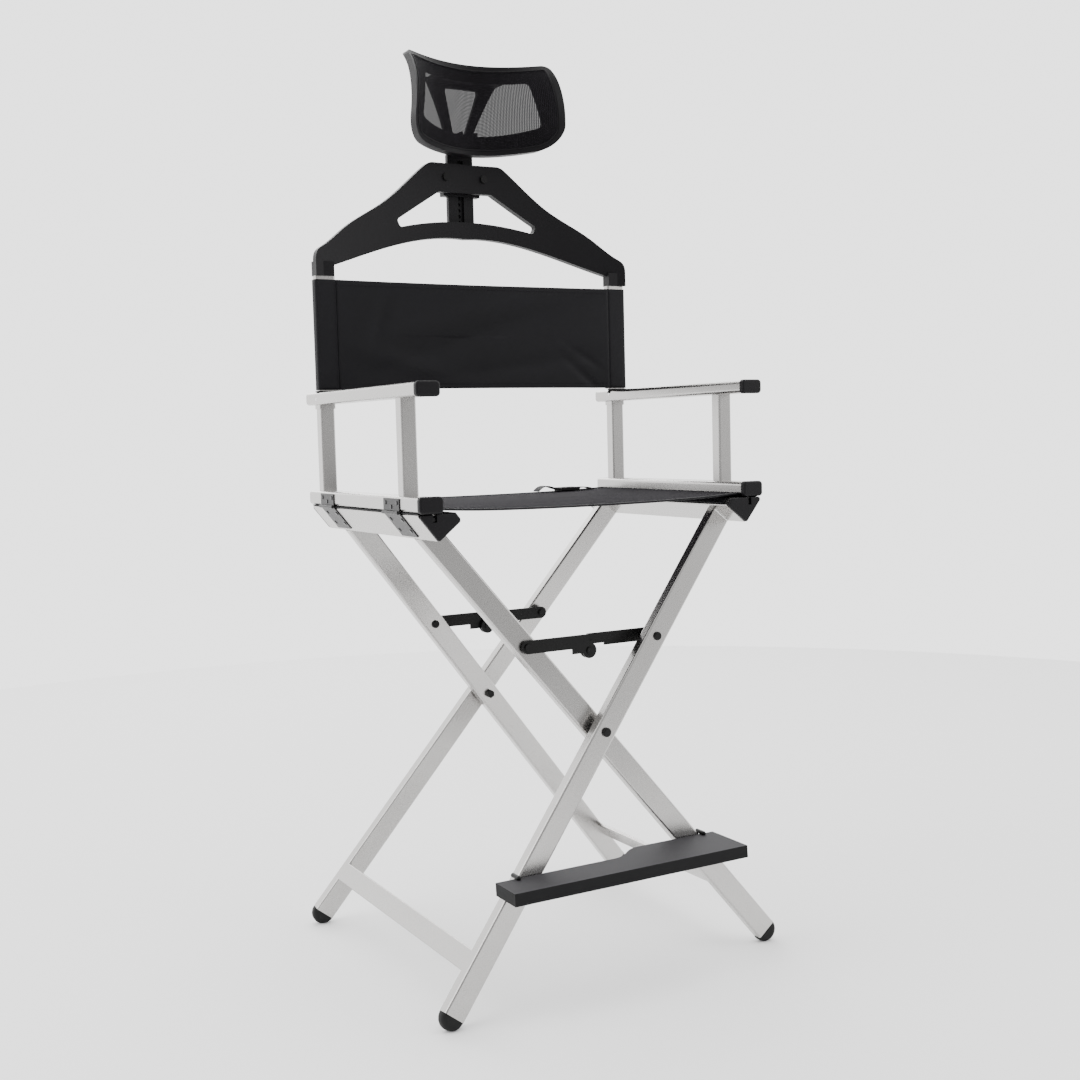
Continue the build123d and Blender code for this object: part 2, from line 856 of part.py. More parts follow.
def left_link():
    front, back = link_layer(False)
    z = brace_knuckle_height
    link = brace_link(False) - rod_y(touch, z, brace_pin_radius, front, back)
    rivet = rod_y(touch, z, brace_head_radius, front - brace_head_depth, front)
    rivet += rod_y(touch, z, brace_pin_radius, front, back)
    rivet += rod_y(touch, z, brace_washer_radius, back, knuckle_split() - layer_gap * half)
    return group([link, rivet])


def right_link():
    front, back = link_layer(True)
    z = brace_knuckle_height
    link = brace_link(True) - rod_y(touch, z, brace_pin_radius, front, back)
    rivet = rod_y(touch, z, brace_head_radius, back, back + brace_tail_depth)
    rivet += rod_y(touch, z, brace_pin_radius, front, back)
    rivet += rod_y(touch, z, brace_washer_radius, knuckle_split() + layer_gap * half, front)
    return group([link, rivet])


def inner_brace_pin():
    front, back = link_layer(False)
    x = -brace_half
    z = brace_pin_height
    tilt = leg_spread_share * leg_head_radius
    leg_front = front_leg_y(inner_leg_y, brace_reach) - leg_half_depth
    leg_back = front_leg_y(inner_leg_y, brace_reach) + leg_half_depth
    head_face = front - layer_gap
    tail_face = leg_back + tilt + leg_head_depth
    leg = leg_solid(inner_leg_y)
    pin = rod_y(x, z, brace_head_radius, head_face - brace_head_depth, head_face)
    pin += rod_y(x, z, brace_pin_radius, head_face, leg_back + tilt)
    pin += rod_y(x, z, brace_washer_radius, back + layer_gap, leg_front + leg_half_depth) - leg
    tail = rod_y(x, z, leg_head_radius, leg_back - leg_half_depth, tail_face)
    tail = fillet(tail.edges().sort_by(Axis.Y)[-1:], leg_head_round)
    return pin + (tail - leg)


def outer_brace_pin():
    front, back = link_layer(True)
    x = -brace_half
    z = brace_pin_height
    tilt = leg_spread_share * leg_head_radius
    leg_front = front_leg_y(outer_leg_y, brace_reach) - leg_half_depth
    leg_back = front_leg_y(outer_leg_y, brace_reach) + leg_half_depth
    leg = leg_solid(outer_leg_y)
    pin = rod_y(x, z, brace_pin_radius, leg_front - tilt, back + layer_gap + brace_nut_depth)
    pin += rod_y(x, z, brace_head_radius, back + layer_gap, back + layer_gap + brace_nut_depth)
    head = rod_y(x, z, leg_head_radius, leg_front - tilt - leg_head_depth, leg_front + leg_half_depth)
    head = fillet(head.edges().sort_by(Axis.Y)[0:1], leg_head_round)
    pin += head - leg
    return pin + (rod_y(x, z, brace_washer_radius, leg_back - leg_half_depth, front - layer_gap) - leg)


def front_and_rear(front):
    return group([front, swap_ends(front)])


# Scissor pivots at the front
def pivot_bolt():
    tilt = leg_spread_share * pivot_head_radius + slide_gap
    front = -outer_leg_y - leg_half_depth - tilt
    back = -inner_leg_y + leg_half_depth + tilt
    bolt = rod_y(touch, pivot_height, pivot_bolt_radius, front, back)
    head = rod_y(touch, pivot_height, pivot_head_radius, front - pivot_head_depth, front)
    head = fillet(head.edges().sort_by(Axis.Y)[0:1], pivot_head_round)
    nut_plane = Plane(origin=(0, back, pivot_height), z_dir=(0, 1, 0))
    nut = extrude(nut_plane * RegularPolygon(pivot_nut_radius, pivot_nut_sides), amount=pivot_nut_depth)
    return bolt + head + nut


def pivot_spacer():
    tilt = leg_spread_share * pivot_head_radius + slide_gap
    low = -outer_leg_y + leg_half_depth + tilt
    high = -inner_leg_y - leg_half_depth - tilt
    spacer = rod_y(touch, pivot_height, pivot_head_radius, low, high)
    return spacer - rod_y(touch, pivot_height, pivot_bolt_radius, low, high)


# Headrest yoke
def yoke_slab(thickness_front, thickness_back):
    radius = yoke_bow
    centre_y = yoke_front - yoke_bow
    plane = Plane(origin=(0, centre_y, 0))
    ring = Circle(radius + thickness_back) - Circle(radius + thickness_front)
    return extrude(plane * ring, amount=twice * far)


def yoke_outline():
    side = yoke_foot_outer
    foot = back_post_top
    inner = yoke_foot_inner
    top = Spline(
        (yoke_crown_half, yoke_crown),
        (yoke_shoulder_half, yoke_shoulder),
        (yoke_slope_half, yoke_slope),
        (yoke_flank_half, yoke_flank),
        (yoke_hip_half, yoke_hip),
        (side, yoke_side),
        tangents=((1, 0), (0, -1)),
    )
    arch = Spline((inner, arch_side), (arch_low_half, arch_low), (arch_mid_half, arch_mid), (touch, arch_top))
    right = make_face([
        Line((touch, yoke_crown), (yoke_crown_half, yoke_crown)),
        top,
        Line((side, yoke_side), (side, foot)),
        Line((side, foot), (inner, foot)),
        Line((inner, foot), (inner, arch_side)),
        arch,
        Line((touch, arch_top), (touch, yoke_crown)),
    ])
    return right + mirror(right, about=Plane.YZ)


def yoke_window():
    low_left = (-window_side_low_half, window_side_low)
    low_right = (window_side_low_half, window_side_low)
    side_left = (-window_side_half, window_side_top)
    side_right = (window_side_half, window_side_top)
    top_left = (-window_top_half, window_top)
    top_right = (window_top_half, window_top)
    face = make_face([
        ThreePointArc(low_left, (touch, window_low_middle), low_right),
        Line(low_right, side_right),
        Line(side_right, top_right),
        Line(top_right, top_left),
        Line(top_left, side_left),
        Line(side_left, low_left),
    ])
    return fillet(face.vertices(), window_round)


def spigot():
    depth_y = back_post_depth - twice * back_post_wall - twice * slide_gap
    y = back_post_front + back_post_depth * half
    outer = back_post_centre + back_post_width * half - back_post_wall - slide_gap
    inner = back_post_centre - back_post_width * half + back_post_wall + slide_gap
    lift_rate = lift_off_travel / radians(fold_travel)
    taper = (hinge_height - pivot_height) / (lift_rate - hinge_half) * spigot_margin_share
    tip = back_post_top - spigot_length
    face = Polygon(
        (inner, back_post_top),
        (outer, back_post_top),
        (outer - spigot_length * taper, tip),
        (inner + canvas, tip),
        (inner, tip + canvas + canvas),
        align=None,
    )
    tongue = across_span(face, y - depth_y * half, y + depth_y * half)
    corner = back_post_corner - back_post_wall
    return tongue & bar_z(back_post_centre, y, outer - inner, depth_y, corner, tip, back_post_top)


def yoke():
    face = yoke_outline() - yoke_window()
    prism = extrude(Plane.XZ * face, amount=far, both=True)
    plate = prism & yoke_slab(touch, yoke_thickness)
    foot_low = back_post_top
    foot_high = foot_low + yoke_foot_height
    feet_box = box_between(yoke_foot_inner, yoke_foot_outer, yoke_foot_front,
                           yoke_foot_front + yoke_foot_depth, foot_low, foot_high)
    body = plate + feet_box + flip(feet_box)
    body += spigot() + flip(spigot())
    for x in (-yoke_bolt_half, yoke_bolt_half):
        body -= rod_y(x, yoke_bolt_height, yoke_bolt_radius, touch, far)
    return body


def yoke_bolts():
    solids = []
    dip = yoke_front - yoke_bow + sqrt(yoke_bow**2 - (yoke_bolt_half + yoke_bolt_head)**2)
    for x in (-yoke_bolt_half, yoke_bolt_half):
        head = rod_y(x, yoke_bolt_height, yoke_bolt_head, dip - yoke_bolt_head_depth, yoke_front + layer_gap)
        head -= yoke_slab(touch, yoke_thickness)
        shank = rod_y(x, yoke_bolt_height, yoke_bolt_radius, dip,
                      yoke_front + yoke_thickness + yoke_bolt_grip)
        solids.append(head + shank)
    return group(solids)


def stem_front():
    return yoke_front + yoke_thickness + guide_wall


def stem_guide():
    front = yoke_front
    inner = stem_front() - slide_gap
    back = stem_front() + stem_thickness + slide_gap + guide_wall
    body = box_between(-guide_half, guide_half, front, back, guide_shoulder, guide_top)
    body += box_between(-guide_lip_half, guide_lip_half, front, back, guide_bottom, guide_shoulder)
    body -= yoke_slab(-yoke_front * half, yoke_thickness)
    body -= box_between(-stem_half - slide_gap, stem_half + slide_gap, inner,
                        stem_front() + stem_thickness + slide_gap, guide_bottom, guide_top)
    for x in (-yoke_bolt_half, yoke_bolt_half):
        body -= rod_y(x, yoke_bolt_height, yoke_bolt_radius, touch,
                      yoke_front + yoke_thickness + yoke_bolt_grip)
    return body


def headrest_stem():
    front = stem_front()
    back = front + stem_thickness
    body = box_between(-stem_half, stem_half, front, back, stem_bottom, stem_top)
    body = fillet(body.edges().filter_by(Axis.Y), stem_corner)
    body -= box_between(-stem_slot_half, stem_slot_half, front, front + stem_thickness * half,
                        stem_slot_bottom, stem_slot_top)
    teeth = int((stem_slot_top - stem_slot_bottom) / stem_tooth_pitch)
    for index in range(teeth):
        z = stem_slot_bottom + stem_tooth_pitch * (index + half)
        body -= rod_y(-stem_slot_half * half, z, stem_tooth_radius, front, back - stem_tooth_floor)
    neck_y = stem_front() + stem_thickness * half
    body += box_between(-stem_neck_half, stem_neck_half, front, back, stem_top - stem_corner, tilt_height)
    body += rod_x(neck_y, tilt_height, stem_neck_radius, -stem_neck_half, stem_neck_half)
    hole = tilt_pin_radius + running_gap
    return body - rod_x(neck_y, tilt_height, hole, -stem_neck_half, stem_neck_half)


# Headrest pad
def tilt_y():
    return stem_front() + stem_thickness * half


def pad_section(level, sag, front, back):
    reach = pad_half_low + pad_rim_width
    front_points = []
    for share in pad_shares:
        x = reach * share
        front_points.append((x, pad_middle_y - sag * (x / pad_sag_half)**2 + front))
    back_points = [(x, y - front + back) for x, y in front_points]
    left = Line(front_points[0], back_points[0])
    right = Line(front_points[-1], back_points[-1])
    face = make_face([Spline(*front_points), right, Spline(*back_points), left])
    return Plane(origin=(0, 0, level)) * face


def pad_slab(front, back):
    return loft([pad_section(level, sag, front, back) for level, sag in zip(pad_levels, pad_sags)])


def pad_outline():
    low_left = (-pad_half_low, pad_low)
    low_right = (pad_half_low, pad_low)
    high_left = (-pad_half_high, pad_high)
    high_right = (pad_half_high, pad_high)
    bottom = ThreePointArc(low_left, (touch, pad_low - pad_low_dip), low_right)
    top = ThreePointArc(high_left, (touch, pad_high - pad_high_dip), high_right)
    face = make_face([bottom, Line(low_right, high_right), top, Line(high_left, low_left)])
    face = fillet(face.vertices().sort_by(Axis.Y)[0:2], pad_low_corner)
    return fillet(face.vertices().sort_by(Axis.Y)[-2:], pad_high_corner)


def across_y(face):
    return extrude(Plane.XZ * face, amount=far, both=True)


def headrest_rim():
    outline = pad_outline()
    return pad_slab(touch, pad_rim_depth) & across_y(outline - offset(outline, amount=-pad_rim_width))


def headrest_mesh():
    return pad_slab(touch, pad_mesh) & across_y(offset(pad_outline(), amount=-pad_rim_width))


def headrest_frame():
    low_left = (-pad_window_half_low, pad_window_low)
    low_right = (pad_window_half_low, pad_window_low)
    high_left = (-pad_window_half_high, pad_window_high)
    high_right = (pad_window_half_high, pad_window_high)
    window = make_face([
        ThreePointArc(low_left, (touch, pad_window_low - pad_window_dip), low_right),
        Line(low_right, high_right),
        Line(high_right, high_left),
        Line(high_left, low_left),
    ])
    window = fillet(window.vertices(), pad_window_round)
    face = offset(pad_outline(), amount=-pad_rim_width) - window
    return pad_slab(pad_mesh, pad_mesh + pad_frame) & across_y(face)


def rib_x(low_x, high_x, level):
    share = (level - rib_low_level) / (rib_high_level - rib_low_level)
    return low_x + (high_x - low_x) * share


def rib_y(level):
    share = (level - rib_low_level) / (rib_high_level - rib_low_level)
    return rib_low_y + (rib_high_y - rib_low_y) * share


def rib_face(inner):
    low_x = rib_low_inner if inner else rib_low_outer
    high_x = rib_high_inner if inner else rib_high_outer
    low = hub_high if inner else hub_low
    high = rib_high_level if inner else shelf_high
    low_x, high_x = rib_x(low_x, high_x, low), rib_x(low_x, high_x, high)
    middle = ((low_x + high_x) * half - (touch if inner else rib_hollow), (low + high) * half)
    right = Spline((low_x, low), middle, (high_x, high))
    return make_face([
        Line((-low_x, low), (low_x, low)),
        right,
        Line((high_x, high), (-high_x, high)),
        mirror(right, about=Plane.YZ),
    ])


def headrest_bracket():
    outer = rib_face(False)
    window = fillet(rib_face(True).vertices(), rib_round)
    reach = rib_high_outer * twice
    side = Polygon(
        (rib_y(hub_low), hub_low),
        (rib_y(shelf_high), shelf_high),
        (rib_y(shelf_high) + rib_depth, shelf_high),
        (rib_y(hub_low) + rib_depth, hub_low),
        align=None,
    )
    ribs = extrude(Plane.YZ * side, amount=reach, both=True) & across_y(outer - window)
    shelf_half = rib_x(rib_low_outer, rib_high_outer, shelf_low)
    frame_back = pad_mesh + pad_frame
    shelf_back = rib_y(shelf_low) + canvas
    shelf = box_between(-shelf_half, shelf_half, pad_middle_y - pad_rim_depth * twice, shelf_back,
                        shelf_low, shelf_high)
    ear_in = stem_neck_half + layer_gap
    ear_out = ear_in + tilt_ear
    y = tilt_y()
    ear = rod_x(y, tilt_height, tilt_ear_radius, ear_in, ear_out)
    ear += box_between(ear_in, ear_out, pad_middle_y, y, tilt_height - tilt_ear_radius * half,
                       hub_low + tilt_ear)
    front = pad_slab(-pad_rim_depth * twice, frame_back)
    ears = ear + flip(ear)
    body = ribs + (shelf - front) + (ears - front)
    return body - rod_x(y, tilt_height, tilt_pin_radius, -stem_half, stem_half)


def headrest_pivot_pin():
    ear_out = stem_neck_half + layer_gap + tilt_ear
    y = tilt_y()
    pin = rod_x(y, tilt_height, tilt_pin_radius, -ear_out, ear_out)
    pin += rod_x(y, tilt_height, tilt_pin_head, ear_out, ear_out + tilt_pin_head_depth)
    return pin + rod_x(y, tilt_height, tilt_pin_head, -ear_out - tilt_pin_head_depth, -ear_out)


# Footrest
def board_rise():
    return leg_spread_share * cos_lean


def board_edge(leg_y):
    bottom = board_top - board_thickness
    s = (bottom - pivot_height - leg_width * half * sin_lean) / cos_lean
    return front_leg_y(leg_y, s) - leg_half_depth - board_gap


def footrest_board():
    left_edge = board_edge(outer_leg_y)
    right_edge = board_edge(inner_leg_y)
    start = board_curve_start
    end = board_curve_end
    front = -board_front
    curve = Spline((start, left_edge), (end, right_edge), tangents=((1, 0), (1, 0)))
    lines = [
        curve,
        Line((end, right_edge), (board_right, right_edge)),
        Line((board_right, right_edge), (board_right, front)),
        Line((board_right, front), (-board_left, front)),
        Line((-board_left, front), (-board_left, left_edge)),
        Line((-board_left, left_edge), (start, left_edge)),
    ]
    bottom = board_top - board_thickness
    face = Plane(origin=(0, 0, bottom)) * make_face(lines)
    board = extrude(face, amount=board_thickness, dir=(0, board_rise(), 1))
    for leg_y, side in ((outer_leg_y, -1), (inner_leg_y, 1)):
        edge = board_edge(leg_y)
        x = side * peg_x()
        z = board_top + hook_peg_rise
        board -= rod_z(x, edge - hook_stem_inset, hook_peg_radius, bottom, z)
        board -= rod_y(x, z, hook_peg_radius, edge - hook_stem_inset, edge + hook_reach)
        board -= Pos(x, edge - hook_stem_inset, z) * Sphere(hook_peg_radius)
    for x, y in hook_screw_spots():
        board -= rod_z(x, y, hook_screw_radius, bottom, bottom + hook_screw_length - hook_plate)
    return board


def peg_x():
    z = board_top + hook_peg_rise
    s = (z - pivot_height - leg_width * half * sin_lean) / cos_lean
    edge = leg_width * half * cos_lean - s * sin_lean
    return edge + (hook_peg_radius + running_gap) / cos_lean


def foot_hook(leg_y, right):
    x = peg_x()
    z = board_top + hook_peg_rise
    edge = board_edge(leg_y)
    bottom = board_top - board_thickness
    rise = board_rise() * (z - bottom)
    low = bottom - hook_plate
    side = hook_plate_width * half
    body = box_between(x - side, x + side, edge - hook_plate_length, edge - hook_plate, low, bottom)
    body += rod_z(x, edge - hook_stem_inset, hook_peg_radius, low, z)
    body += rod_y(x, z, hook_peg_radius, edge - hook_stem_inset, edge + hook_reach + rise)
    ball = Pos(x, edge - hook_stem_inset, z) * Sphere(hook_peg_radius)
    body = body + (ball & rod_y(x, z, hook_peg_radius, edge - hook_plate_length, edge - hook_stem_inset))
    for screw_x in (x - hook_screw_spread, x + hook_screw_spread):
        y = edge - hook_plate_length + hook_screw_spread
        body -= rod_z(screw_x, y, hook_screw_radius, low, bottom)
    return body if right else flip(body)


def footrest_hooks():
    return group([foot_hook(outer_leg_y, False), foot_hook(inner_leg_y, True)])


def hook_screw_spots():
    spots = []
    for leg_y, side in ((outer_leg_y, -1), (inner_leg_y, 1)):
        edge = board_edge(leg_y)
        for share in (-1, 1):
            x = side * peg_x() + share * hook_screw_spread
            spots.append((x, edge - hook_plate_length + hook_screw_spread))
    return spots


def footrest_screws():
    low = board_top - board_thickness - hook_plate
    solids = []
    for x, y in hook_screw_spots():
        head = rod_z(x, y, hook_screw_head, low - hook_screw_head_depth, low)
        solids.append(head + rod_z(x, y, hook_screw_radius, low, low + hook_screw_length))
    return group(solids)


def make_nodes():
    nodes = {}
    nodes["pivot_bolts"] = front_and_rear(pivot_bolt())
    nodes["pivot_spacers"] = front_and_rear(pivot_spacer())
    sides = (
        ("inner", "left", inner_leg_y, inner_rail_half, False),
        ("outer", "right", outer_leg_y, outer_rail_half, True),
    )
    for frame, side, leg_y, rail_half, right in sides:
        turn = flip if right else (lambda shape: shape)
        tube = leg_tube(leg_y)
        nodes[frame + "_front_leg"] = turn(tube)
        nodes[frame + "_rear_leg"] = turn(swap_ends(tube))
        nodes[frame + "_stretcher"] = turn(stretcher(leg_y))
        nodes[side + "_seat_rail"] = turn(seat_rail(rail_half))
        nodes[side + "_seat_rail_caps"] = turn(front_and_rear(seat_cap(rail_half)))
        nodes[frame + "_foot_caps"] = turn(front_and_rear(foot(leg_y)))
        leaves = group([hinge_lower_leaf(-front_hinge_y), hinge_lower_leaf(rear_hinge_y)])
        nodes[side + "_hinge_lower_leaves"] = turn(leaves)
        nodes[side + "_seat_rail_screws"] = turn(seat_rail_screws(rail_half))
        pin = outer_brace_pin() if right else inner_brace_pin()
        nodes[frame + "_brace_pins"] = turn(front_and_rear(pin))
        nodes[side + "_armrest"] = turn(upper_rail())
        nodes[side + "_lower_rail"] = turn(lower_rail())
        posts = group([arm_post(-front_post_face), arm_post(rear_post_face)])
        nodes[side + "_arm_posts"] = turn(posts)
        nodes[side + "_post_collar"] = turn(post_collar(rear_post_face))
        nodes[side + "_rail_caps"] = turn(rail_pair(rail_cap))
        nodes[side + "_rail_plugs"] = turn(rail_pair(rear_plug))
        leaves = group([hinge_upper_leaf(-front_hinge_y), hinge_upper_leaf(rear_hinge_y)])
        nodes[side + "_hinge_upper_leaves"] = turn(leaves)
        nodes[side + "_hinge_upper_screws"] = turn(upper_screws())
        nodes[side + "_back_post"] = turn(back_post())
        nodes[side + "_post_socket"] = turn(post_socket())
    nodes["backrest_canvas"] = backrest_canvas()
    nodes["seat_canvas"] = seat_canvas()
    nodes["seat_strap"] = seat_strap()
    nodes["strap_buckle"] = strap_buckle()
    nodes["front_left_brace_link"] = left_link()
    nodes["front_right_brace_link"] = right_link()
    nodes["rear_left_brace_link"] = swap_ends(left_link())
    nodes["rear_right_brace_link"] = swap_ends(right_link())
    nodes["headrest_yoke"] = yoke()
    nodes["yoke_bolts"] = yoke_bolts()
    nodes["stem_guide"] = stem_guide()
    nodes["headrest_stem"] = headrest_stem()
    nodes["headrest_pivot_pin"] = headrest_pivot_pin()
    nodes["headrest_bracket"] = headrest_bracket()
    nodes["headrest_frame"] = headrest_frame()
    nodes["headrest_rim"] = headrest_rim()
    nodes["headrest_mesh"] = headrest_mesh()
    nodes["footrest_board"] = footrest_board()
    nodes["footrest_hooks"] = footrest_hooks()
    nodes["footrest_screws"] = footrest_screws()
    return nodes


def main():
    os.makedirs("parts", exist_ok=True)
    nodes = make_nodes()
    boxes = [shape.bounding_box() for shape in nodes.values()]
    front = min(box.min.Y for box in boxes)
    back = max(box.max.Y for box in boxes)
    turning_plane = Plane(origin=(0, -(front + back) * half * half, 0), z_dir=(0, 1, 0))
    for name, shape in nodes.items():
        export_step(mirror(swap_ends(shape), about=turning_plane), "parts/" + name + ".step")


main()
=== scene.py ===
"""Looks of a tall folding makeup chair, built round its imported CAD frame. Metres, front towards -Y, Z up."""

import json
import logging
from dataclasses import dataclass
from enum import Enum

import bpy
import numpy as np
from mathutils import Matrix

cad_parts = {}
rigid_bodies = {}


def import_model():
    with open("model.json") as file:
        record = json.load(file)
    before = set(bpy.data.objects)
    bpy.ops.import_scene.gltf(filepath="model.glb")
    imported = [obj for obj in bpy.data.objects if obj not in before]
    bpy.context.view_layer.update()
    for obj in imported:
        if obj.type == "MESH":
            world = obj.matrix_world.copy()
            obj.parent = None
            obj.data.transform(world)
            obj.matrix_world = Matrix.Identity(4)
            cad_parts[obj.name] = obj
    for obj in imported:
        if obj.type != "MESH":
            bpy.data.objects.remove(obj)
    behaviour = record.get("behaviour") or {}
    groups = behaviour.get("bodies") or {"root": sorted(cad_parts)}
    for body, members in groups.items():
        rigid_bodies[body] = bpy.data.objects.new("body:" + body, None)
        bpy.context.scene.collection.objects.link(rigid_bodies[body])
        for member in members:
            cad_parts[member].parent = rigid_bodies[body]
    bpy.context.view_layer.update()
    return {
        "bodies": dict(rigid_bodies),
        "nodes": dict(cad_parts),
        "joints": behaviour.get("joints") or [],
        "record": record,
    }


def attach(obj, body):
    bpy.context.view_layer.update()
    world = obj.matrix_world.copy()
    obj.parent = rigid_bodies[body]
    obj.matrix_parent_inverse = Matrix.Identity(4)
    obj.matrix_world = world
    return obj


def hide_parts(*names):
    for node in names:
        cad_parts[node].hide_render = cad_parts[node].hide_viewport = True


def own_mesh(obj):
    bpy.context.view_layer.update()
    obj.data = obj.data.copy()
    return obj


LOG = logging.getLogger("makeup_chair")
MM = 0.001
LEG_LEAN = 38.68
PIVOT_HEIGHT = 393.0 * MM
RAIL_INNER = 271.7 * MM
RAIL_OUTER = 308.3 * MM
STITCH_SHARE = 0.66
MERGE_DISTANCE = 1e-6
FRONT_FACING = -0.3


class Side(Enum):
    """Which armrest a piece belongs to, seen from the front."""

    LEFT = -1
    RIGHT = 1

    @property
    def word(self) -> str:
        """The side's name as nodes and bodies spell it."""
        return self.name.lower()

    @property
    def arm(self) -> str:
        """The armrest's CAD body."""
        return self.word + "_arm"

    @property
    def frame(self) -> str:
        """The leg frame whose seat rail lies on this side."""
        return "inner_frame" if self is Side.LEFT else "outer_frame"


class Grain(Enum):
    """How the fine relief of a finish runs."""

    PLAIN = "plain"
    WOVEN = "woven"
    NET = "net"


# Shader groups


class ShaderGroups:
    """The node groups that several finishes share, each built once."""

    def __init__(self) -> None:
        """Starts with no group built."""
        self.built: dict[str, bpy.types.NodeTree] = {}

    def _start(self, name: str, inputs: dict[str, float], outputs: list[str]) -> bpy.types.NodeTree:
        """Makes an empty group with float inputs and outputs.

        Args:
            name: the group's name.
            inputs: each input socket and its default.
            outputs: the output sockets.

        Returns:
            The node tree, with its two interface nodes named input and output.
        """
        tree = bpy.data.node_groups.new(name, "ShaderNodeTree")
        for label, value in inputs.items():
            socket = tree.interface.new_socket(label, in_out="INPUT", socket_type="NodeSocketFloat")
            socket.default_value = value
        for label in outputs:
            tree.interface.new_socket(label, in_out="OUTPUT", socket_type="NodeSocketFloat")
        tree.nodes.new("NodeGroupInput").name = "input"
        tree.nodes.new("NodeGroupOutput").name = "output"
        self.built[name] = tree
        return tree

    def mottle(self) -> bpy.types.NodeTree:
        """Slow and fine noise in object space, stretched along the three axes.

        Returns:
            The group: Slow and Fine, both from 0 to 1.
        """
        if "mottle" in self.built:
            return self.built["mottle"]
        inputs = {"Slow scale": 8.0, "Fine scale": 900.0, "Stretch": 1.0}
        tree = self._start("mottle", inputs, ["Slow", "Fine"])
        nodes, links = tree.nodes, tree.links
        place = nodes.new("ShaderNodeTexCoord")
        shape = nodes.new("ShaderNodeCombineXYZ")
        shape.inputs["X"].default_value = 1.0
        shape.inputs["Z"].default_value = 1.0
        links.new(nodes["input"].outputs["Stretch"], shape.inputs["Y"])
        stretched = nodes.new("ShaderNodeVectorMath")
        stretched.operation = "MULTIPLY"
        links.new(place.outputs["Object"], stretched.inputs[0])
        links.new(shape.outputs[0], stretched.inputs[1])
        for label, detail in (("Slow", 3.0), ("Fine", 2.0)):
            noise = nodes.new("ShaderNodeTexNoise")
            noise.inputs["Detail"].default_value = detail
            links.new(stretched.outputs[0], noise.inputs["Vector"])
            links.new(nodes["input"].outputs[label + " scale"], noise.inputs["Scale"])
            links.new(noise.outputs["Fac"], nodes["output"].inputs[label])
        return tree

    def weave(self) -> bpy.types.NodeTree:
        """Crossing threads: the product of one sine along X and one along Z, both of the given pitch.

        Returns:
            The group: Threads from 0 in a hole to 1 on a thread.
        """
        if "weave" in self.built:
            return self.built["weave"]
        tree = self._start("weave", {"Threads per metre": 800.0}, ["Threads"])
        nodes, links = tree.nodes, tree.links
        place = nodes.new("ShaderNodeTexCoord")
        split = nodes.new("ShaderNodeSeparateXYZ")
        links.new(place.outputs["Object"], split.inputs[0])
        turned = nodes.new("ShaderNodeMath")
        turned.operation = "ADD"
        links.new(split.outputs["Y"], turned.inputs[0])
        links.new(split.outputs["Z"], turned.inputs[1])
        waves = []
        for source in (split.outputs["X"], turned.outputs[0]):
            scaled = nodes.new("ShaderNodeMath")
            scaled.operation = "MULTIPLY"
            links.new(source, scaled.inputs[0])
            links.new(nodes["input"].outputs["Threads per metre"], scaled.inputs[1])
            angle = nodes.new("ShaderNodeMath")
            angle.operation = "MULTIPLY"
            angle.inputs[1].default_value = np.pi
            links.new(scaled.outputs[0], angle.inputs[0])
            sine = nodes.new("ShaderNodeMath")
            sine.operation = "SINE"
            links.new(angle.outputs[0], sine.inputs[0])
            size = nodes.new("ShaderNodeMath")
            size.operation = "ABSOLUTE"
            links.new(sine.outputs[0], size.inputs[0])
            waves.append(size.outputs[0])
        product = nodes.new("ShaderNodeMath")
        product.operation = "MULTIPLY"
        links.new(waves[0], product.inputs[0])
        links.new(waves[1], product.inputs[1])
        invert = nodes.new("ShaderNodeMath")
        invert.operation = "SUBTRACT"
        invert.inputs[0].default_value = 1.0
        links.new(product.outputs[0], invert.inputs[1])
        links.new(invert.outputs[0], nodes["output"].inputs["Threads"])
        return tree


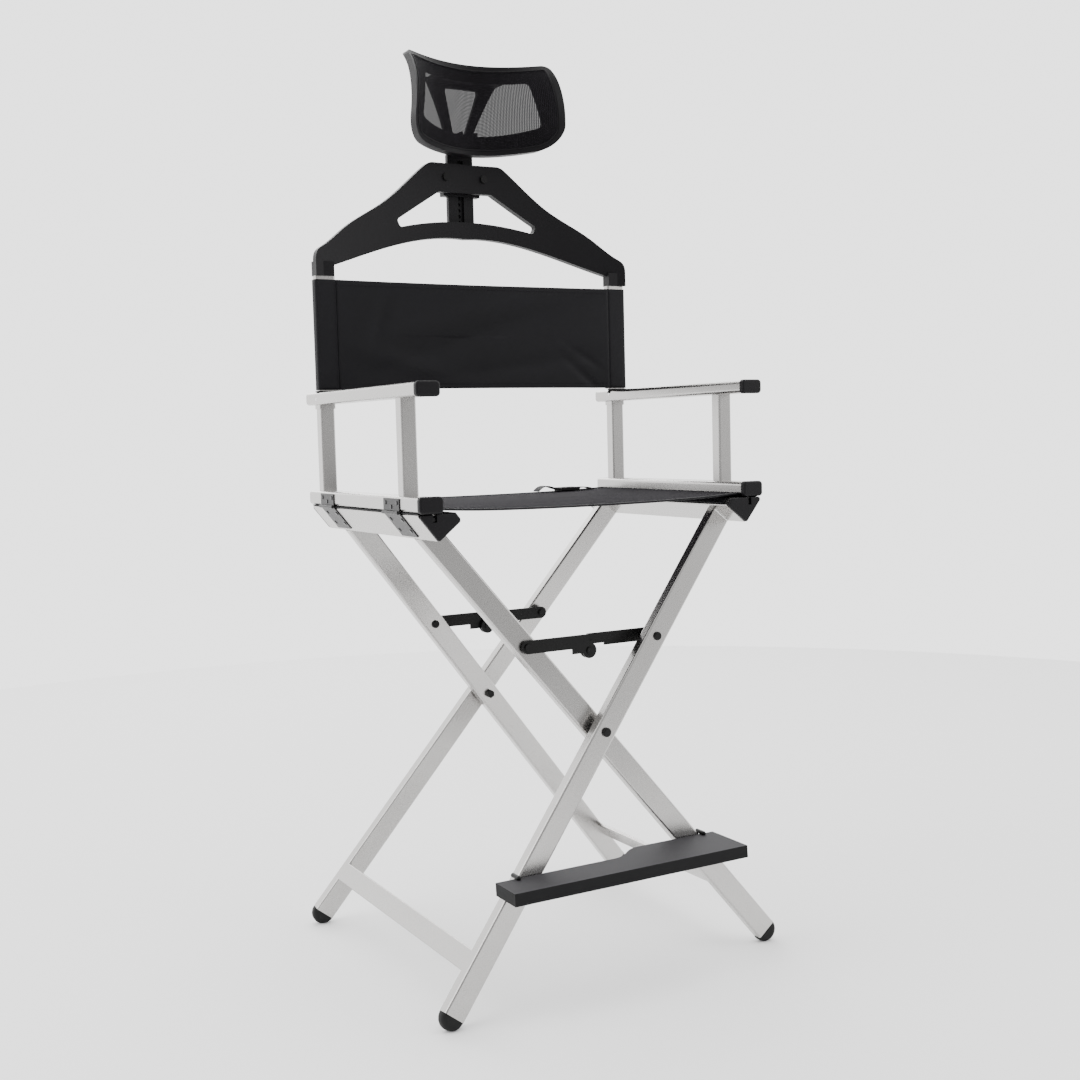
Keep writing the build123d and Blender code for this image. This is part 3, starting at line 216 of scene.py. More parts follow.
@dataclass(frozen=True)
class Finish:
    """One real finish, as the plain facts that its material is built from, with painted light on faces that
    look up where a top light colour is given.
    """

    name: str
    colour: tuple[float, float, float]
    second_colour: tuple[float, float, float]
    roughness: float
    metallic: float = 0.0
    specular: float = 0.5
    roughness_swing: float = 0.08
    relief: float = 0.0
    relief_height: float = 0.0002
    slow_scale: float = 8.0
    fine_scale: float = 900.0
    stretch: float = 1.0
    grain: Grain = Grain.PLAIN
    threads: float = 800.0
    # Painted light: a lighter colour for faces that look up, standing in for light from above.
    top_colour: tuple[float, float, float] | None = None
    top_facing: tuple[float, float] = (0.75, 0.95)
    net_threads: tuple[float, float] = (0.25, 0.75)
    net_hole_alpha: float = 0.84

    def build(self, groups: ShaderGroups) -> bpy.types.Material:
        """Builds the material.

        Args:
            groups: the shared node groups.

        Returns:
            The material.
        """
        material = bpy.data.materials.new(self.name)
        material.use_nodes = True
        nodes, links = material.node_tree.nodes, material.node_tree.links
        shader = nodes["Principled BSDF"]
        shader.inputs["Metallic"].default_value = self.metallic
        shader.inputs["Specular IOR Level"].default_value = self.specular
        mottle = nodes.new("ShaderNodeGroup")
        mottle.node_tree = groups.mottle()
        mottle.inputs["Slow scale"].default_value = self.slow_scale
        mottle.inputs["Fine scale"].default_value = self.fine_scale
        mottle.inputs["Stretch"].default_value = self.stretch
        colour = self._mix(nodes, links, mottle.outputs["Slow"], self.colour, self.second_colour)
        # Painted top light, where a colour for it is given.
        if self.top_colour is not None:
            colour = self._top(nodes, links, colour)
        links.new(colour, shader.inputs["Base Color"])
        rough = nodes.new("ShaderNodeMapRange")
        rough.inputs["To Min"].default_value = self.roughness - self.roughness_swing
        rough.inputs["To Max"].default_value = self.roughness + self.roughness_swing
        links.new(mottle.outputs["Fine"], rough.inputs["Value"])
        links.new(rough.outputs["Result"], shader.inputs["Roughness"])
        height = mottle.outputs["Fine"]
        if self.grain in (Grain.WOVEN, Grain.NET):
            weave = nodes.new("ShaderNodeGroup")
            weave.node_tree = groups.weave()
            weave.inputs["Threads per metre"].default_value = self.threads
            height = weave.outputs["Threads"]
        if self.grain is Grain.NET:
            cover = nodes.new("ShaderNodeMapRange")
            cover.inputs["From Min"].default_value = self.net_threads[0]
            cover.inputs["From Max"].default_value = self.net_threads[1]
            cover.inputs["To Min"].default_value = self.net_hole_alpha
            cover.inputs["To Max"].default_value = 1.0
            links.new(height, cover.inputs["Value"])
            links.new(cover.outputs["Result"], shader.inputs["Alpha"])
        if self.relief > 0.0:
            bump = nodes.new("ShaderNodeBump")
            bump.inputs["Strength"].default_value = self.relief
            bump.inputs["Distance"].default_value = self.relief_height
            links.new(height, bump.inputs["Height"])
            links.new(bump.outputs["Normal"], shader.inputs["Normal"])
        return material

    @staticmethod
    def _mix(nodes: bpy.types.Nodes, links: bpy.types.NodeLinks, share: bpy.types.NodeSocket,
             low: tuple[float, float, float], high: tuple[float, float, float]) -> bpy.types.NodeSocket:
        """Mixes two colours by a share.

        Returns:
            The socket with the mixed colour.
        """
        mix = nodes.new("ShaderNodeMix")
        mix.data_type = "RGBA"
        mix.inputs[6].default_value = (*low, 1.0)
        mix.inputs[7].default_value = (*high, 1.0)
        links.new(share, mix.inputs[0])
        return mix.outputs[2]

    def _top(self, nodes: bpy.types.Nodes, links: bpy.types.NodeLinks,
             sides: bpy.types.NodeSocket) -> bpy.types.NodeSocket:
        """Paints a lighter colour on faces that look up: painted light from above, not a colour of the thing.

        Returns:
            The socket with the sides' colour and the painted top light.
        """
        geometry = nodes.new("ShaderNodeNewGeometry")
        split = nodes.new("ShaderNodeSeparateXYZ")
        links.new(geometry.outputs["Normal"], split.inputs[0])
        facing = nodes.new("ShaderNodeMapRange")
        facing.inputs["From Min"].default_value = self.top_facing[0]
        facing.inputs["From Max"].default_value = self.top_facing[1]
        links.new(split.outputs["Z"], facing.inputs["Value"])
        mix = nodes.new("ShaderNodeMix")
        mix.data_type = "RGBA"
        mix.inputs[7].default_value = (*self.top_colour, 1.0)
        links.new(facing.outputs["Result"], mix.inputs[0])
        links.new(sides, mix.inputs[6])
        return mix.outputs[2]


FINISHES: dict[str, Finish] = {
    "satin_aluminium": Finish("satin aluminium", (0.40, 0.39, 0.38), (0.50, 0.49, 0.48), 0.27, metallic=1.0,
                              roughness_swing=0.04, relief=0.004, fine_scale=700.0, slow_scale=5.0,
                              stretch=0.25),
    "weld": Finish("bright weld", (0.80, 0.80, 0.79), (0.72, 0.72, 0.71), 0.22, metallic=1.0),
    "black_plastic": Finish("black nylon", (0.0035, 0.0032, 0.0040), (0.0075, 0.0068, 0.0080), 0.48,
                            specular=0.16, relief=0.18, fine_scale=1600.0),
    "silver_plastic": Finish("silver plug", (0.50, 0.50, 0.49), (0.56, 0.56, 0.55), 0.38, metallic=0.7),
    "black_rubber": Finish("foot rubber", (0.004, 0.004, 0.004), (0.008, 0.008, 0.008), 0.58,
                           specular=0.2, relief=0.25, fine_scale=1200.0),
    "black_steel": Finish("black coated steel", (0.002, 0.002, 0.002), (0.005, 0.005, 0.005), 0.36,
                          specular=0.18, relief=0.08),
    "hinge_steel": Finish("dark hinge steel", (0.016, 0.015, 0.016), (0.028, 0.027, 0.028), 0.42,
                          metallic=0.5),
    "dark_screws": Finish("dark screws", (0.018, 0.018, 0.019), (0.035, 0.034, 0.035), 0.28, metallic=0.7),
    "black_fabric": Finish("black canvas", (0.0028, 0.0026, 0.0036), (0.0060, 0.0056, 0.0075), 0.66,
                           specular=0.20, relief=0.35, grain=Grain.WOVEN, threads=900.0),
    "seat_fabric": Finish("seat canvas", (0.011, 0.010, 0.012), (0.020, 0.018, 0.022), 0.88, specular=0.05,
                          relief=0.35, grain=Grain.WOVEN, threads=900.0),
    "headrest_mesh": Finish("headrest net", (0.0060, 0.0055, 0.0065), (0.0110, 0.0100, 0.0120), 0.80,
                            specular=0.08, relief=0.3, grain=Grain.NET, threads=420.0),
    # The board's lighter top is painted light from above, not its own colour.
    "footrest_charcoal": Finish("footrest board", (0.004, 0.004, 0.0045), (0.008, 0.008, 0.0085), 0.62,
                                specular=0.14, relief=0.3, fine_scale=650.0,
                                top_colour=(0.034, 0.033, 0.036)),
}


class Wardrobe:
    """Builds each finish once and hands it out by the record's slot name."""

    def __init__(self) -> None:
        """Builds every finish."""
        groups = ShaderGroups()
        self.materials = {slot: finish.build(groups) for slot, finish in FINISHES.items()}

    def dress(self, piece: bpy.types.Object, slot: str) -> None:
        """Gives a piece the one material of a slot."""
        piece.data.materials.clear()
        piece.data.materials.append(self.materials[slot])


# Meshes from arrays


def make_surface(name: str, points: np.ndarray, wrap_u: bool = False, wrap_v: bool = False,
                 smooth: bool = True) -> bpy.types.Object:
    """Makes a mesh object of quads from a grid of points.

    Args:
        name: the object's name.
        points: an array of rows by columns by 3, in metres.
        wrap_u: joins the last row to the first.
        wrap_v: joins the last column to the first.
        smooth: shades the faces smooth.

    Returns:
        The object.
    """
    rows, columns, _ = points.shape
    u_index = np.arange(rows if wrap_u else rows - 1)
    v_index = np.arange(columns if wrap_v else columns - 1)
    u_grid, v_grid = np.meshgrid(u_index, v_index, indexing="ij")
    u_next, v_next = (u_grid + 1) % rows, (v_grid + 1) % columns
    quads = np.stack([u_grid * columns + v_grid, u_next * columns + v_grid,
                      u_next * columns + v_next, u_grid * columns + v_next], axis=-1).reshape(-1, 4)
    return make_mesh(name, points.reshape(-1, 3), quads, smooth)


def make_mesh(name: str, vertices: np.ndarray, quads: np.ndarray, smooth: bool = True) -> bpy.types.Object:
    """Puts vertices and faces into a new object.

    Args:
        name: the object's name.
        vertices: an array of points by 3.
        quads: an array of faces by their vertex numbers, all with as many sides.
        smooth: shades the faces smooth.

    Returns:
        The object, linked to the scene.
    """
    mesh = bpy.data.meshes.new(name)
    mesh.vertices.add(len(vertices))
    mesh.vertices.foreach_set("co", np.ascontiguousarray(vertices, dtype=np.float32).ravel())
    mesh.loops.add(quads.size)
    mesh.loops.foreach_set("vertex_index", np.ascontiguousarray(quads, dtype=np.int32).ravel())
    mesh.polygons.add(len(quads))
    mesh.polygons.foreach_set("loop_start", np.arange(0, quads.size, quads.shape[1], dtype=np.int32))
    mesh.polygons.foreach_set("use_smooth", np.full(len(quads), smooth))
    mesh.update(calc_edges=True)
    mesh.validate()
    piece = bpy.data.objects.new(name, mesh)
    bpy.context.scene.collection.objects.link(piece)
    return piece


def thicken(piece: bpy.types.Object, thickness: float, offset: float = 0.0) -> None:
    """Gives an open sheet its thickness with a Solidify modifier.

    Args:
        piece: the sheet.
        thickness: in metres.
        offset: -1 to 1, where the sheet lies in its thickness.
    """
    solid = piece.modifiers.new("thickness", "SOLIDIFY")
    solid.thickness = thickness
    solid.offset = offset
    solid.use_even_offset = False
    graph = bpy.context.evaluated_depsgraph_get()
    baked = bpy.data.meshes.new_from_object(piece.evaluated_get(graph))
    piece.modifiers.clear()
    piece.data = baked


def sweep_tube(name: str, path: np.ndarray, radius: np.ndarray, sides: int = 8) -> bpy.types.Object:
    """Carries a circle along a path, with each ring square to it, and closes both ends.

    Args:
        name: the object's name.
        path: an array of points by 3.
        radius: the circle's radius at each point.
        sides: how many sides the circle has.

    Returns:
        The tube.
    """
    tangent = np.gradient(path, axis=0)
    tangent /= np.linalg.norm(tangent, axis=1, keepdims=True)
    spare = np.where(np.abs(tangent[:, 2:3]) > 0.9, np.array([[1.0, 0.0, 0.0]]), np.array([[0.0, 0.0, 1.0]]))
    across = np.cross(tangent, spare)
    across /= np.linalg.norm(across, axis=1, keepdims=True)
    up = np.cross(across, tangent)
    angle = np.linspace(0.0, 2.0 * np.pi, sides, endpoint=False)
    size = np.concatenate([[0.0], radius, [0.0]])
    pick = np.concatenate([[0], np.arange(len(path)), [len(path) - 1]])
    cosine, sine = np.cos(angle)[None, :, None], np.sin(angle)[None, :, None]
    ring = across[pick, None, :] * cosine + up[pick, None, :] * sine
    points = path[pick, None, :] + ring * np.maximum(size, 1e-6)[:, None, None]
    return make_surface(name, points, wrap_v=True)


def stitch_row(name: str, path: np.ndarray, pitch: float, width: float,
               proud: np.ndarray) -> bpy.types.Object:
    """Lays short thread boxes end to end along a path, each two thirds of the pitch long.

    Args:
        name: the object's name.
        path: points along the seam, by 3.
        pitch: the distance from one stitch to the next.
        width: the thread's width and height.
        proud: the direction that the thread stands out in.

    Returns:
        One object with all the stitches.
    """
    steps = np.linalg.norm(np.diff(path, axis=0), axis=1)
    run = np.concatenate([[0.0], np.cumsum(steps)])
    starts = np.arange(0.0, run[-1] - pitch, pitch)
    low = np.stack([np.interp(starts, run, path[:, axis]) for axis in range(3)], axis=1)
    ends = starts + pitch * STITCH_SHARE
    high = np.stack([np.interp(ends, run, path[:, axis]) for axis in range(3)], axis=1)
    along = high - low
    along /= np.linalg.norm(along, axis=1, keepdims=True)
    out = np.broadcast_to(proud / np.linalg.norm(proud), along.shape)
    side = np.cross(along, out)
    corners = []
    for end in (low, high):
        for share_side, share_out in ((-0.5, -0.5), (0.5, -0.5), (0.5, 0.5), (-0.5, 0.5)):
            corners.append(end + side * width * share_side + out * width * share_out)
    vertices = np.stack(corners, axis=1).reshape(-1, 3)
    box = np.array([[0, 1, 2, 3], [7, 6, 5, 4], [0, 4, 5, 1], [1, 5, 6, 2], [2, 6, 7, 3], [3, 7, 4, 0]])
    quads = (box[None] + 8 * np.arange(len(starts))[:, None, None]).reshape(-1, 4)
    return make_mesh(name, vertices, quads[:, ::-1], smooth=False)


@dataclass(frozen=True)
class Hill:
    """A soft long hill in a sheet, or a hollow where its height is negative."""

    height: float
    centre: tuple[float, float]
    size: tuple[float, float]
    turn: float

    def over(self, u: np.ndarray, v: np.ndarray) -> np.ndarray:
        """A Gaussian of two half widths, turned in the sheet's plane by an angle in degrees.

        Args:
            u: first coordinate of each point.
            v: second coordinate of each point.

        Returns:
            Heights in metres.
        """
        angle = np.radians(self.turn)
        du, dv = u - self.centre[0], v - self.centre[1]
        along = du * np.cos(angle) + dv * np.sin(angle)
        beside = dv * np.cos(angle) - du * np.sin(angle)
        return self.height * np.exp(-(along / self.size[0]) ** 2 - (beside / self.size[1]) ** 2)


SEAT_PULLS = (
    Hill(0.7 * MM, (-0.20, -0.15), (0.10, 0.018), 38.0),
    Hill(0.6 * MM, (0.19, -0.14), (0.11, 0.020), -30.0),
    Hill(0.8 * MM, (0.05, 0.02), (0.22, 0.022), 7.0),
    Hill(-0.7 * MM, (-0.06, -0.08), (0.20, 0.026), -9.0),
)
BACK_FOLDS = (
    Hill(4.4 * MM, (0.02, 1.045), (0.20, 0.016), 19.0),
    Hill(-3.4 * MM, (-0.02, 1.075), (0.19, 0.020), 15.0),
    Hill(2.8 * MM, (0.10, 0.985), (0.16, 0.014), 8.0),
    Hill(-2.4 * MM, (-0.14, 0.985), (0.10, 0.016), -14.0),
    Hill(1.8 * MM, (-0.19, 1.06), (0.05, 0.012), 70.0),
    Hill(2.2 * MM, (0.215, 0.965), (0.05, 0.007), -38.0),
    Hill(1.8 * MM, (0.225, 0.995), (0.045, 0.006), -30.0),
)


def copy_node(name: str, node: bpy.types.Object) -> bpy.types.Object:
    """Copies a CAD node's mesh into a new piece with its doubles merged.

    Returns:
        The new piece.
    """
    piece = bpy.data.objects.new(name, node.data.copy())
    bpy.context.scene.collection.objects.link(piece)
    weld = piece.modifiers.new("merge", "WELD")
    weld.merge_threshold = MERGE_DISTANCE
    graph = bpy.context.evaluated_depsgraph_get()
    baked = bpy.data.meshes.new_from_object(piece.evaluated_get(graph))
    piece.modifiers.clear()
    piece.data = baked
    return piece


def front_skin(node: bpy.types.Object) -> tuple[np.ndarray, np.ndarray]:
    """Keeps the triangles of a CAD node that face the front, and joins the corners that lie together.

    Args:
        node: the CAD node.

    Returns:
        The points and the triangles' point numbers.
    """
    mesh = node.data
    mesh.calc_loop_triangles()
    points = np.empty(len(mesh.vertices) * 3, dtype=np.float32)
    mesh.vertices.foreach_get("co", points)
    points = points.reshape(-1, 3)
    faces = np.empty(len(mesh.loop_triangles) * 3, dtype=np.int32)
    mesh.loop_triangles.foreach_get("vertices", faces)
    faces = faces.reshape(-1, 3)
    edge_one, edge_two = points[faces[:, 1]] - points[faces[:, 0]], points[faces[:, 2]] - points[faces[:, 0]]
    normal = np.cross(edge_one, edge_two)
    normal /= np.maximum(np.linalg.norm(normal, axis=1, keepdims=True), 1e-12)
    faces = faces[normal[:, 1] < FRONT_FACING]
    used, faces = np.unique(faces, return_inverse=True)
    points, merged = np.unique(np.round(points[used], 6), axis=0, return_inverse=True)
    faces = merged.reshape(-1)[faces.reshape(-1)].reshape(-1, 3)
    alive = (faces[:, 0] != faces[:, 1]) & (faces[:, 1] != faces[:, 2]) & (faces[:, 0] != faces[:, 2])
    return points.astype(float), faces[alive]


def rim_of(points: np.ndarray, faces: np.ndarray, count: int) -> np.ndarray:
    """Finds a skin's outer edge: the edges of one triangle only, in order of their angle round the middle.

    Args:
        points: the skin's points.
        faces: the skin's triangles.
        count: how many points the path gets.

    Returns:
        Evenly spaced points along the edge, closed.
    """
    edges = np.sort(faces[:, [0, 1, 1, 2, 2, 0]].reshape(-1, 2), axis=1)
    edges, uses = np.unique(edges, axis=0, return_counts=True)
    border = points[np.unique(edges[uses == 1])]
    middle = 0.5 * (border.max(axis=0) + border.min(axis=0))
    border = border[np.argsort(np.arctan2(border[:, 2] - middle[2], border[:, 0] - middle[0]))]
    border = np.concatenate([border, border[:1]])
    run = np.concatenate([[0.0], np.cumsum(np.linalg.norm(np.diff(border, axis=0), axis=1))])
    spots = np.linspace(0.0, run[-1], count)
    return np.stack([np.interp(spots, run, border[:, axis]) for axis in range(3)], axis=1)


# Sub-assemblies


@dataclass
class FoldLaw:
    """Where the fold brings the two arms together, for cloth that hangs between them."""

    hinge_half: float = 311.3 * MM
    hinge_folded: float = 75.35 * MM
    slack: float = 0.2 * MM

    def keep(self, half_width: float) -> float:
        """How much of a sheet's width is left between two edges that ride on the arms.

        Args:
            half_width: the edges' distance from the middle at rest.

        Returns:
            The share of the width that is left at the end of the fold.
        """
        inset = self.hinge_half - half_width
        return (self.hinge_folded - inset - 0.5 * self.slack) / half_width


@dataclass
class SeatCloth:
    """The seat: a sheet slung between the two lower rails, with bound hems and rolled side edges."""

    wardrobe: Wardrobe
    fold: FoldLaw
    rail_inner: float = RAIL_INNER
    front: float = -199.9 * MM
    rear: float = 234.1 * MM
    level: float = 753.0 * MM
    edge_rise: float = 2.4 * MM
    front_sag: float = 2.4 * MM
    middle_sag: float = 2.0 * MM
    thickness: float = 1.3 * MM
    hem_width: float = 12.0 * MM
    rail_bottom: float = 750.0 * MM
    rail_outer: float = RAIL_OUTER
    tongue_gap: float = 0.7 * MM
    roll_radius: float = 3.4 * MM
    roll_gap: float = 0.3 * MM
    tongue_end: float = 1.2 * MM
    flap_drop: float = 12.0 * MM
    flap_top: float = 748.0 * MM
    flap_lip: float = 29.0 * MM
    flap_stand: float = 1.0 * MM
    sheet_play: float = 0.2 * MM
    hem_play: float = 0.3 * MM
    hem_half_depth: float = 1.7 * MM
    hem_past: float = 0.6 * MM
    hem_stitch_share: float = 0.85
    stitch_inset: float = 4.0 * MM
    stitch_pitch: float = 3.4 * MM
    stitch_width: float = 0.5 * MM
    stitch_lift: float = 1.0 * MM

    def height(self, x: np.ndarray, y: np.ndarray) -> np.ndarray:
        """Height of the sheet: flat, rising to the rails, sagging most along the front edge, with soft pulls.

        Args:
            x: distance from the middle.
            y: distance from the middle, front negative.

        Returns:
            Heights in metres.
        """
        share = np.abs(x) / self.rail_inner
        front_share = np.clip((self.rear - y) / (self.rear - self.front), 0.0, 1.0)
        base = self.level + self.edge_rise * share ** 6
        sag = (1.0 - share ** 2) * (self.middle_sag + self.front_sag * front_share ** 4)
        pulls = sum(hill.over(x, y) for hill in SEAT_PULLS)
        return base - sag + pulls * (1.0 - share ** 8)

    def build(self) -> list[bpy.types.Object]:
        """Builds the sheet, its hems with stitches, and the strips that the rails hold.

        Returns:
            The pieces.
        """
        sheet = self._sheet()
        hems = [self._hem("seat_hem_front", self.front, 1.0), self._hem("seat_hem_rear", self.rear, -1.0)]
        stitches = [self._stitches("seat_stitches_front", self.front + self.hem_width * self.hem_stitch_share),
                    self._stitches("seat_stitches_rear", self.rear - self.hem_width * self.hem_stitch_share)]
        for piece in (sheet, *hems, *stitches):
            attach(piece, Side.LEFT.arm)
            self.fold.keep(self.rail_inner)
            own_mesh(piece)
        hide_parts("seat_canvas")
        strips = [self._strip(side) for side in Side] + [self._flap(side) for side in Side]
        return [sheet, *hems, *stitches, *strips]

    def _sheet(self) -> bpy.types.Object:
        """The main sheet, a grid with the height law, thickened."""
        x_line = np.linspace(-self.rail_inner + self.sheet_play, self.rail_inner - self.sheet_play, 120)
        y_line = np.linspace(self.front, self.rear, 100)
        x, y = np.meshgrid(x_line, y_line, indexing="ij")
        sheet = make_surface("seat_sheet", np.stack([x, y, self.height(x, y)], axis=-1))
        thicken(sheet, self.thickness, offset=-1.0)
        self.wardrobe.dress(sheet, "seat_fabric")
        return sheet

    def _hem(self, name: str, edge: float, inward: float) -> bpy.types.Object:
        """A bound hem: a flat loop of cloth folded round the sheet's edge.

        Args:
            name: the piece's name.
            edge: where the sheet ends.
            inward: the sign of the way to the sheet's middle.

        Returns:
            The hem.
        """
        x_line = np.linspace(-self.rail_inner + self.hem_play, self.rail_inner - self.hem_play, 120)
        turn = np.linspace(0.0, 2.0 * np.pi, 24, endpoint=False)
        reach = self.hem_width * 0.5
        flat = np.sign(np.cos(turn)) * np.abs(np.cos(turn)) ** 0.5 * reach
        lift = np.sign(np.sin(turn)) * np.abs(np.sin(turn)) ** 0.6 * self.hem_half_depth
        x = np.broadcast_to(x_line[:, None], (len(x_line), len(turn)))
        y = edge + inward * (reach - self.hem_past) + np.broadcast_to(flat, x.shape)
        z = self.height(x, np.clip(y, self.front, self.rear)) - self.thickness * 0.5
        z = z + np.broadcast_to(lift, x.shape)
        hem = make_surface(name, np.stack([x, y, z], axis=-1)[:, ::-1], wrap_v=True)
        self.wardrobe.dress(hem, "black_fabric")
        return hem

    def _stitches(self, name: str, y: float) -> bpy.types.Object:
        """A row of stitches along a hem."""
        reach = self.rail_inner - self.stitch_inset
        x_line = np.linspace(-reach, reach, 200)
        y_line = np.full_like(x_line, y)
        path = np.stack([x_line, y_line, self.height(x_line, y_line) + self.stitch_lift], axis=1)
        row = stitch_row(name, path, self.stitch_pitch, self.stitch_width, np.array([0.0, 0.0, 1.0]))
        self.wardrobe.dress(row, "black_fabric")
        return row

    def _strip(self, side: Side) -> bpy.types.Object:
        """The cloth that lies under a lower rail, with the roll beside it, riding on the arm.

        Args:
            side: the armrest.

        Returns:
            The strip.
        """
        low = self.rail_bottom - self.tongue_gap - self.thickness
        high = self.rail_bottom - self.tongue_gap * 0.4
        outer, inner = self.rail_outer - self.tongue_end, self.rail_inner + 0.4 * MM
        centre_x, centre_z = self.rail_inner - self.roll_radius - self.roll_gap, low + self.roll_radius
        turn = np.linspace(-0.5 * np.pi, 1.2 * np.pi, 22)
        roll_x = centre_x - np.sin(turn + 0.5 * np.pi - 1.6) * self.roll_radius
        roll_z = centre_z + np.sin(turn) * self.roll_radius
        profile_x = np.concatenate([[outer, outer, inner], roll_x[::-1], [inner]])
        profile_z = np.concatenate([[low, high, high], roll_z[::-1], [low]])
        y_line = np.linspace(self.front + 0.5 * MM, self.rear - 0.5 * MM, 60)
        x = np.broadcast_to(profile_x[None, :] * side.value, (len(y_line), len(profile_x)))
        z = np.broadcast_to(profile_z[None, :], x.shape)
        y = np.broadcast_to(y_line[:, None], x.shape)
        points = np.stack([x, y, z], axis=-1)
        points = points if side is Side.LEFT else points[:, ::-1]
        strip = make_surface("seat_edge_" + side.word, points, wrap_v=True)
        self.wardrobe.dress(strip, "black_fabric")
        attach(strip, side.arm)
        return strip

    def _flap(self, side: Side) -> bpy.types.Object:
        """The short flap that lies down the inner face of a seat rail."""
        lean = np.radians(LEG_LEAN)
        top_s = (self.flap_top - PIVOT_HEIGHT - self.flap_lip * np.sin(lean)) / np.cos(lean)
        s_line = np.linspace(top_s - self.flap_drop, top_s, 6)
        y_line = np.linspace(self.front + 2.0 * MM, self.rear - 2.0 * MM, 60)
        s, y = np.meshgrid(s_line, y_line, indexing="ij")
        n = self.flap_lip + self.flap_stand
        x = (n * np.cos(lean) - s * np.sin(lean)) * -side.value
        z = PIVOT_HEIGHT + s * np.cos(lean) + n * np.sin(lean)
        points = np.stack([x, y, z], axis=-1)
        flap = make_surface("seat_flap_" + side.word, points if side is Side.LEFT else points[:, ::-1])
        thicken(flap, self.thickness)
        self.wardrobe.dress(flap, "black_fabric")
        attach(flap, side.frame)
        return flap


@dataclass
class BackCloth:
    """The backrest: a band of cloth with a sleeve round each back post."""

    wardrobe: Wardrobe
    fold: FoldLaw
    post_centre: float = 286.5 * MM
    post_half: float = 18.0 * MM
    front: float = 188.09 * MM
    back: float = 203.09 * MM
    bottom: float = 942.6 * MM
    top: float = 1126.0 * MM
    thickness: float = 1.2 * MM
    hem_inset: float = 9.0 * MM
    edge_dip: float = 1.2 * MM
    post_gap: float = 0.1 * MM
    sleeve_power: float = 0.25
    stitch_inset: float = 3.0 * MM
    stitch_lift: float = 0.2 * MM

    def sag(self, x: np.ndarray, z: np.ndarray) -> np.ndarray:
        """How far the band stands behind a straight line from post to post, with its soft diagonal folds.

        Args:
            x: distance from the middle.
            z: height.

        Returns:
            Distances towards the rear, in metres.
        """
        inner = self.post_centre - self.post_half
        share = np.clip(1.0 - (x / inner) ** 2, 0.0, 1.0)
        slack = share * 2.5 * MM
        folds = sum(hill.over(x, z) for hill in BACK_FOLDS)
        return slack + folds * np.clip(share * 4.0, 0.0, 1.0)

    def build(self) -> list[bpy.types.Object]:
        """Builds the band, both sleeves and the seams.

        Returns:
            The pieces.
        """
        band = self._band()
        seams = [self._seam(side) for side in Side]
        hems = [self._hem("back_hem_low", self.bottom + self.hem_inset),
                self._hem("back_hem_high", self.top - self.hem_inset)]
        inner = self.post_centre - self.post_half
        for piece in (band, *hems):
            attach(piece, Side.LEFT.arm)
            self.fold.keep(inner)
            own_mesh(piece)
        sleeves = [self._sleeve(side) for side in Side]
        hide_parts("backrest_canvas")
        return [band, *seams, *hems, *sleeves]

    def _band(self) -> bpy.types.Object:
        """The flat part between the sleeves, with its folds."""
        inner = self.post_centre - self.post_half
        x_line = np.linspace(-inner, inner, 140)
        z_line = np.linspace(self.bottom, self.top, 60)
        x, z = np.meshgrid(x_line, z_line, indexing="ij")
        dip = self.edge_dip * (1.0 - (x / inner) ** 2)
        z_edge = np.where(z > 0.5 * (self.top + self.bottom), z - dip, z + dip)
        y = self.front - 0.5 * self.thickness - self.post_gap + self.sag(x, z)
        band = make_surface("back_band", np.stack([x, y, z_edge], axis=-1))
        thicken(band, self.thickness)
        self.wardrobe.dress(band, "black_fabric")
        return band

    def _sleeve(self, side: Side) -> bpy.types.Object:
        """A sleeve: a rounded oblong carried up round the post, riding on its arm.

        Args:
            side: the armrest.

        Returns:
            The sleeve.
        """
        gap = self.post_gap + 0.5 * self.thickness
        half_x = self.post_half + gap
        half_y = 0.5 * (self.back - self.front) + gap
        turn = np.linspace(0.0, 2.0 * np.pi, 48, endpoint=False)
        ring_x = np.sign(np.cos(turn)) * np.abs(np.cos(turn)) ** self.sleeve_power * half_x
        ring_y = np.sign(np.sin(turn)) * np.abs(np.sin(turn)) ** self.sleeve_power * half_y
        z_line = np.linspace(self.bottom, self.top, 40)
        centre_y = 0.5 * (self.front + self.back)
        pucker = 0.35 * MM * np.sin(z_line * 260.0) * np.exp(-((z_line - self.bottom) / 0.05))
        x = side.value * self.post_centre + np.broadcast_to(ring_x, (len(z_line), len(turn)))
        y = centre_y + np.broadcast_to(ring_y, x.shape) * (1.0 + np.maximum(pucker, 0.0)[:, None] / half_y)
        z = np.broadcast_to(z_line[:, None], x.shape)
        sleeve = make_surface("back_sleeve_" + side.word, np.stack([x, y, z], axis=-1), wrap_v=True)
        thicken(sleeve, self.thickness)
        self.wardrobe.dress(sleeve, "black_fabric")
        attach(sleeve, side.arm)
        return sleeve

    def _seam(self, side: Side) -> bpy.types.Object:
        """A row of stitches down the inner edge of a sleeve."""
        z_line = np.linspace(self.bottom + self.stitch_inset, self.top - self.stitch_inset, 120)
        x = side.value * (self.post_centre - self.post_half + self.stitch_inset)
        y = self.front - self.thickness - self.stitch_lift
        path = np.stack([np.full_like(z_line, x), np.full_like(z_line, y), z_line], axis=1)
        seam = stitch_row("back_seam_" + side.word, path, 3.6 * MM, 0.6 * MM, np.array([0.0, -1.0, 0.0]))
        self.wardrobe.dress(seam, "seat_fabric")
        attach(seam, side.arm)
        return seam

    def _hem(self, name: str, height: float) -> bpy.types.Object:
        """A row of hem stitches along the band's top or bottom edge."""
        inner = self.post_centre - self.post_half
        x_line = np.linspace(-inner + self.stitch_inset, inner - self.stitch_inset, 240)
        z_line = np.full_like(x_line, height)
        y_line = self.front - self.thickness - self.stitch_lift + self.sag(x_line, z_line)
        path = np.stack([x_line, y_line, z_line], axis=1)
        row = stitch_row(name, path, 3.4 * MM, 0.5 * MM, np.array([0.0, -1.0, 0.0]))
        self.wardrobe.dress(row, "seat_fabric")
        return row


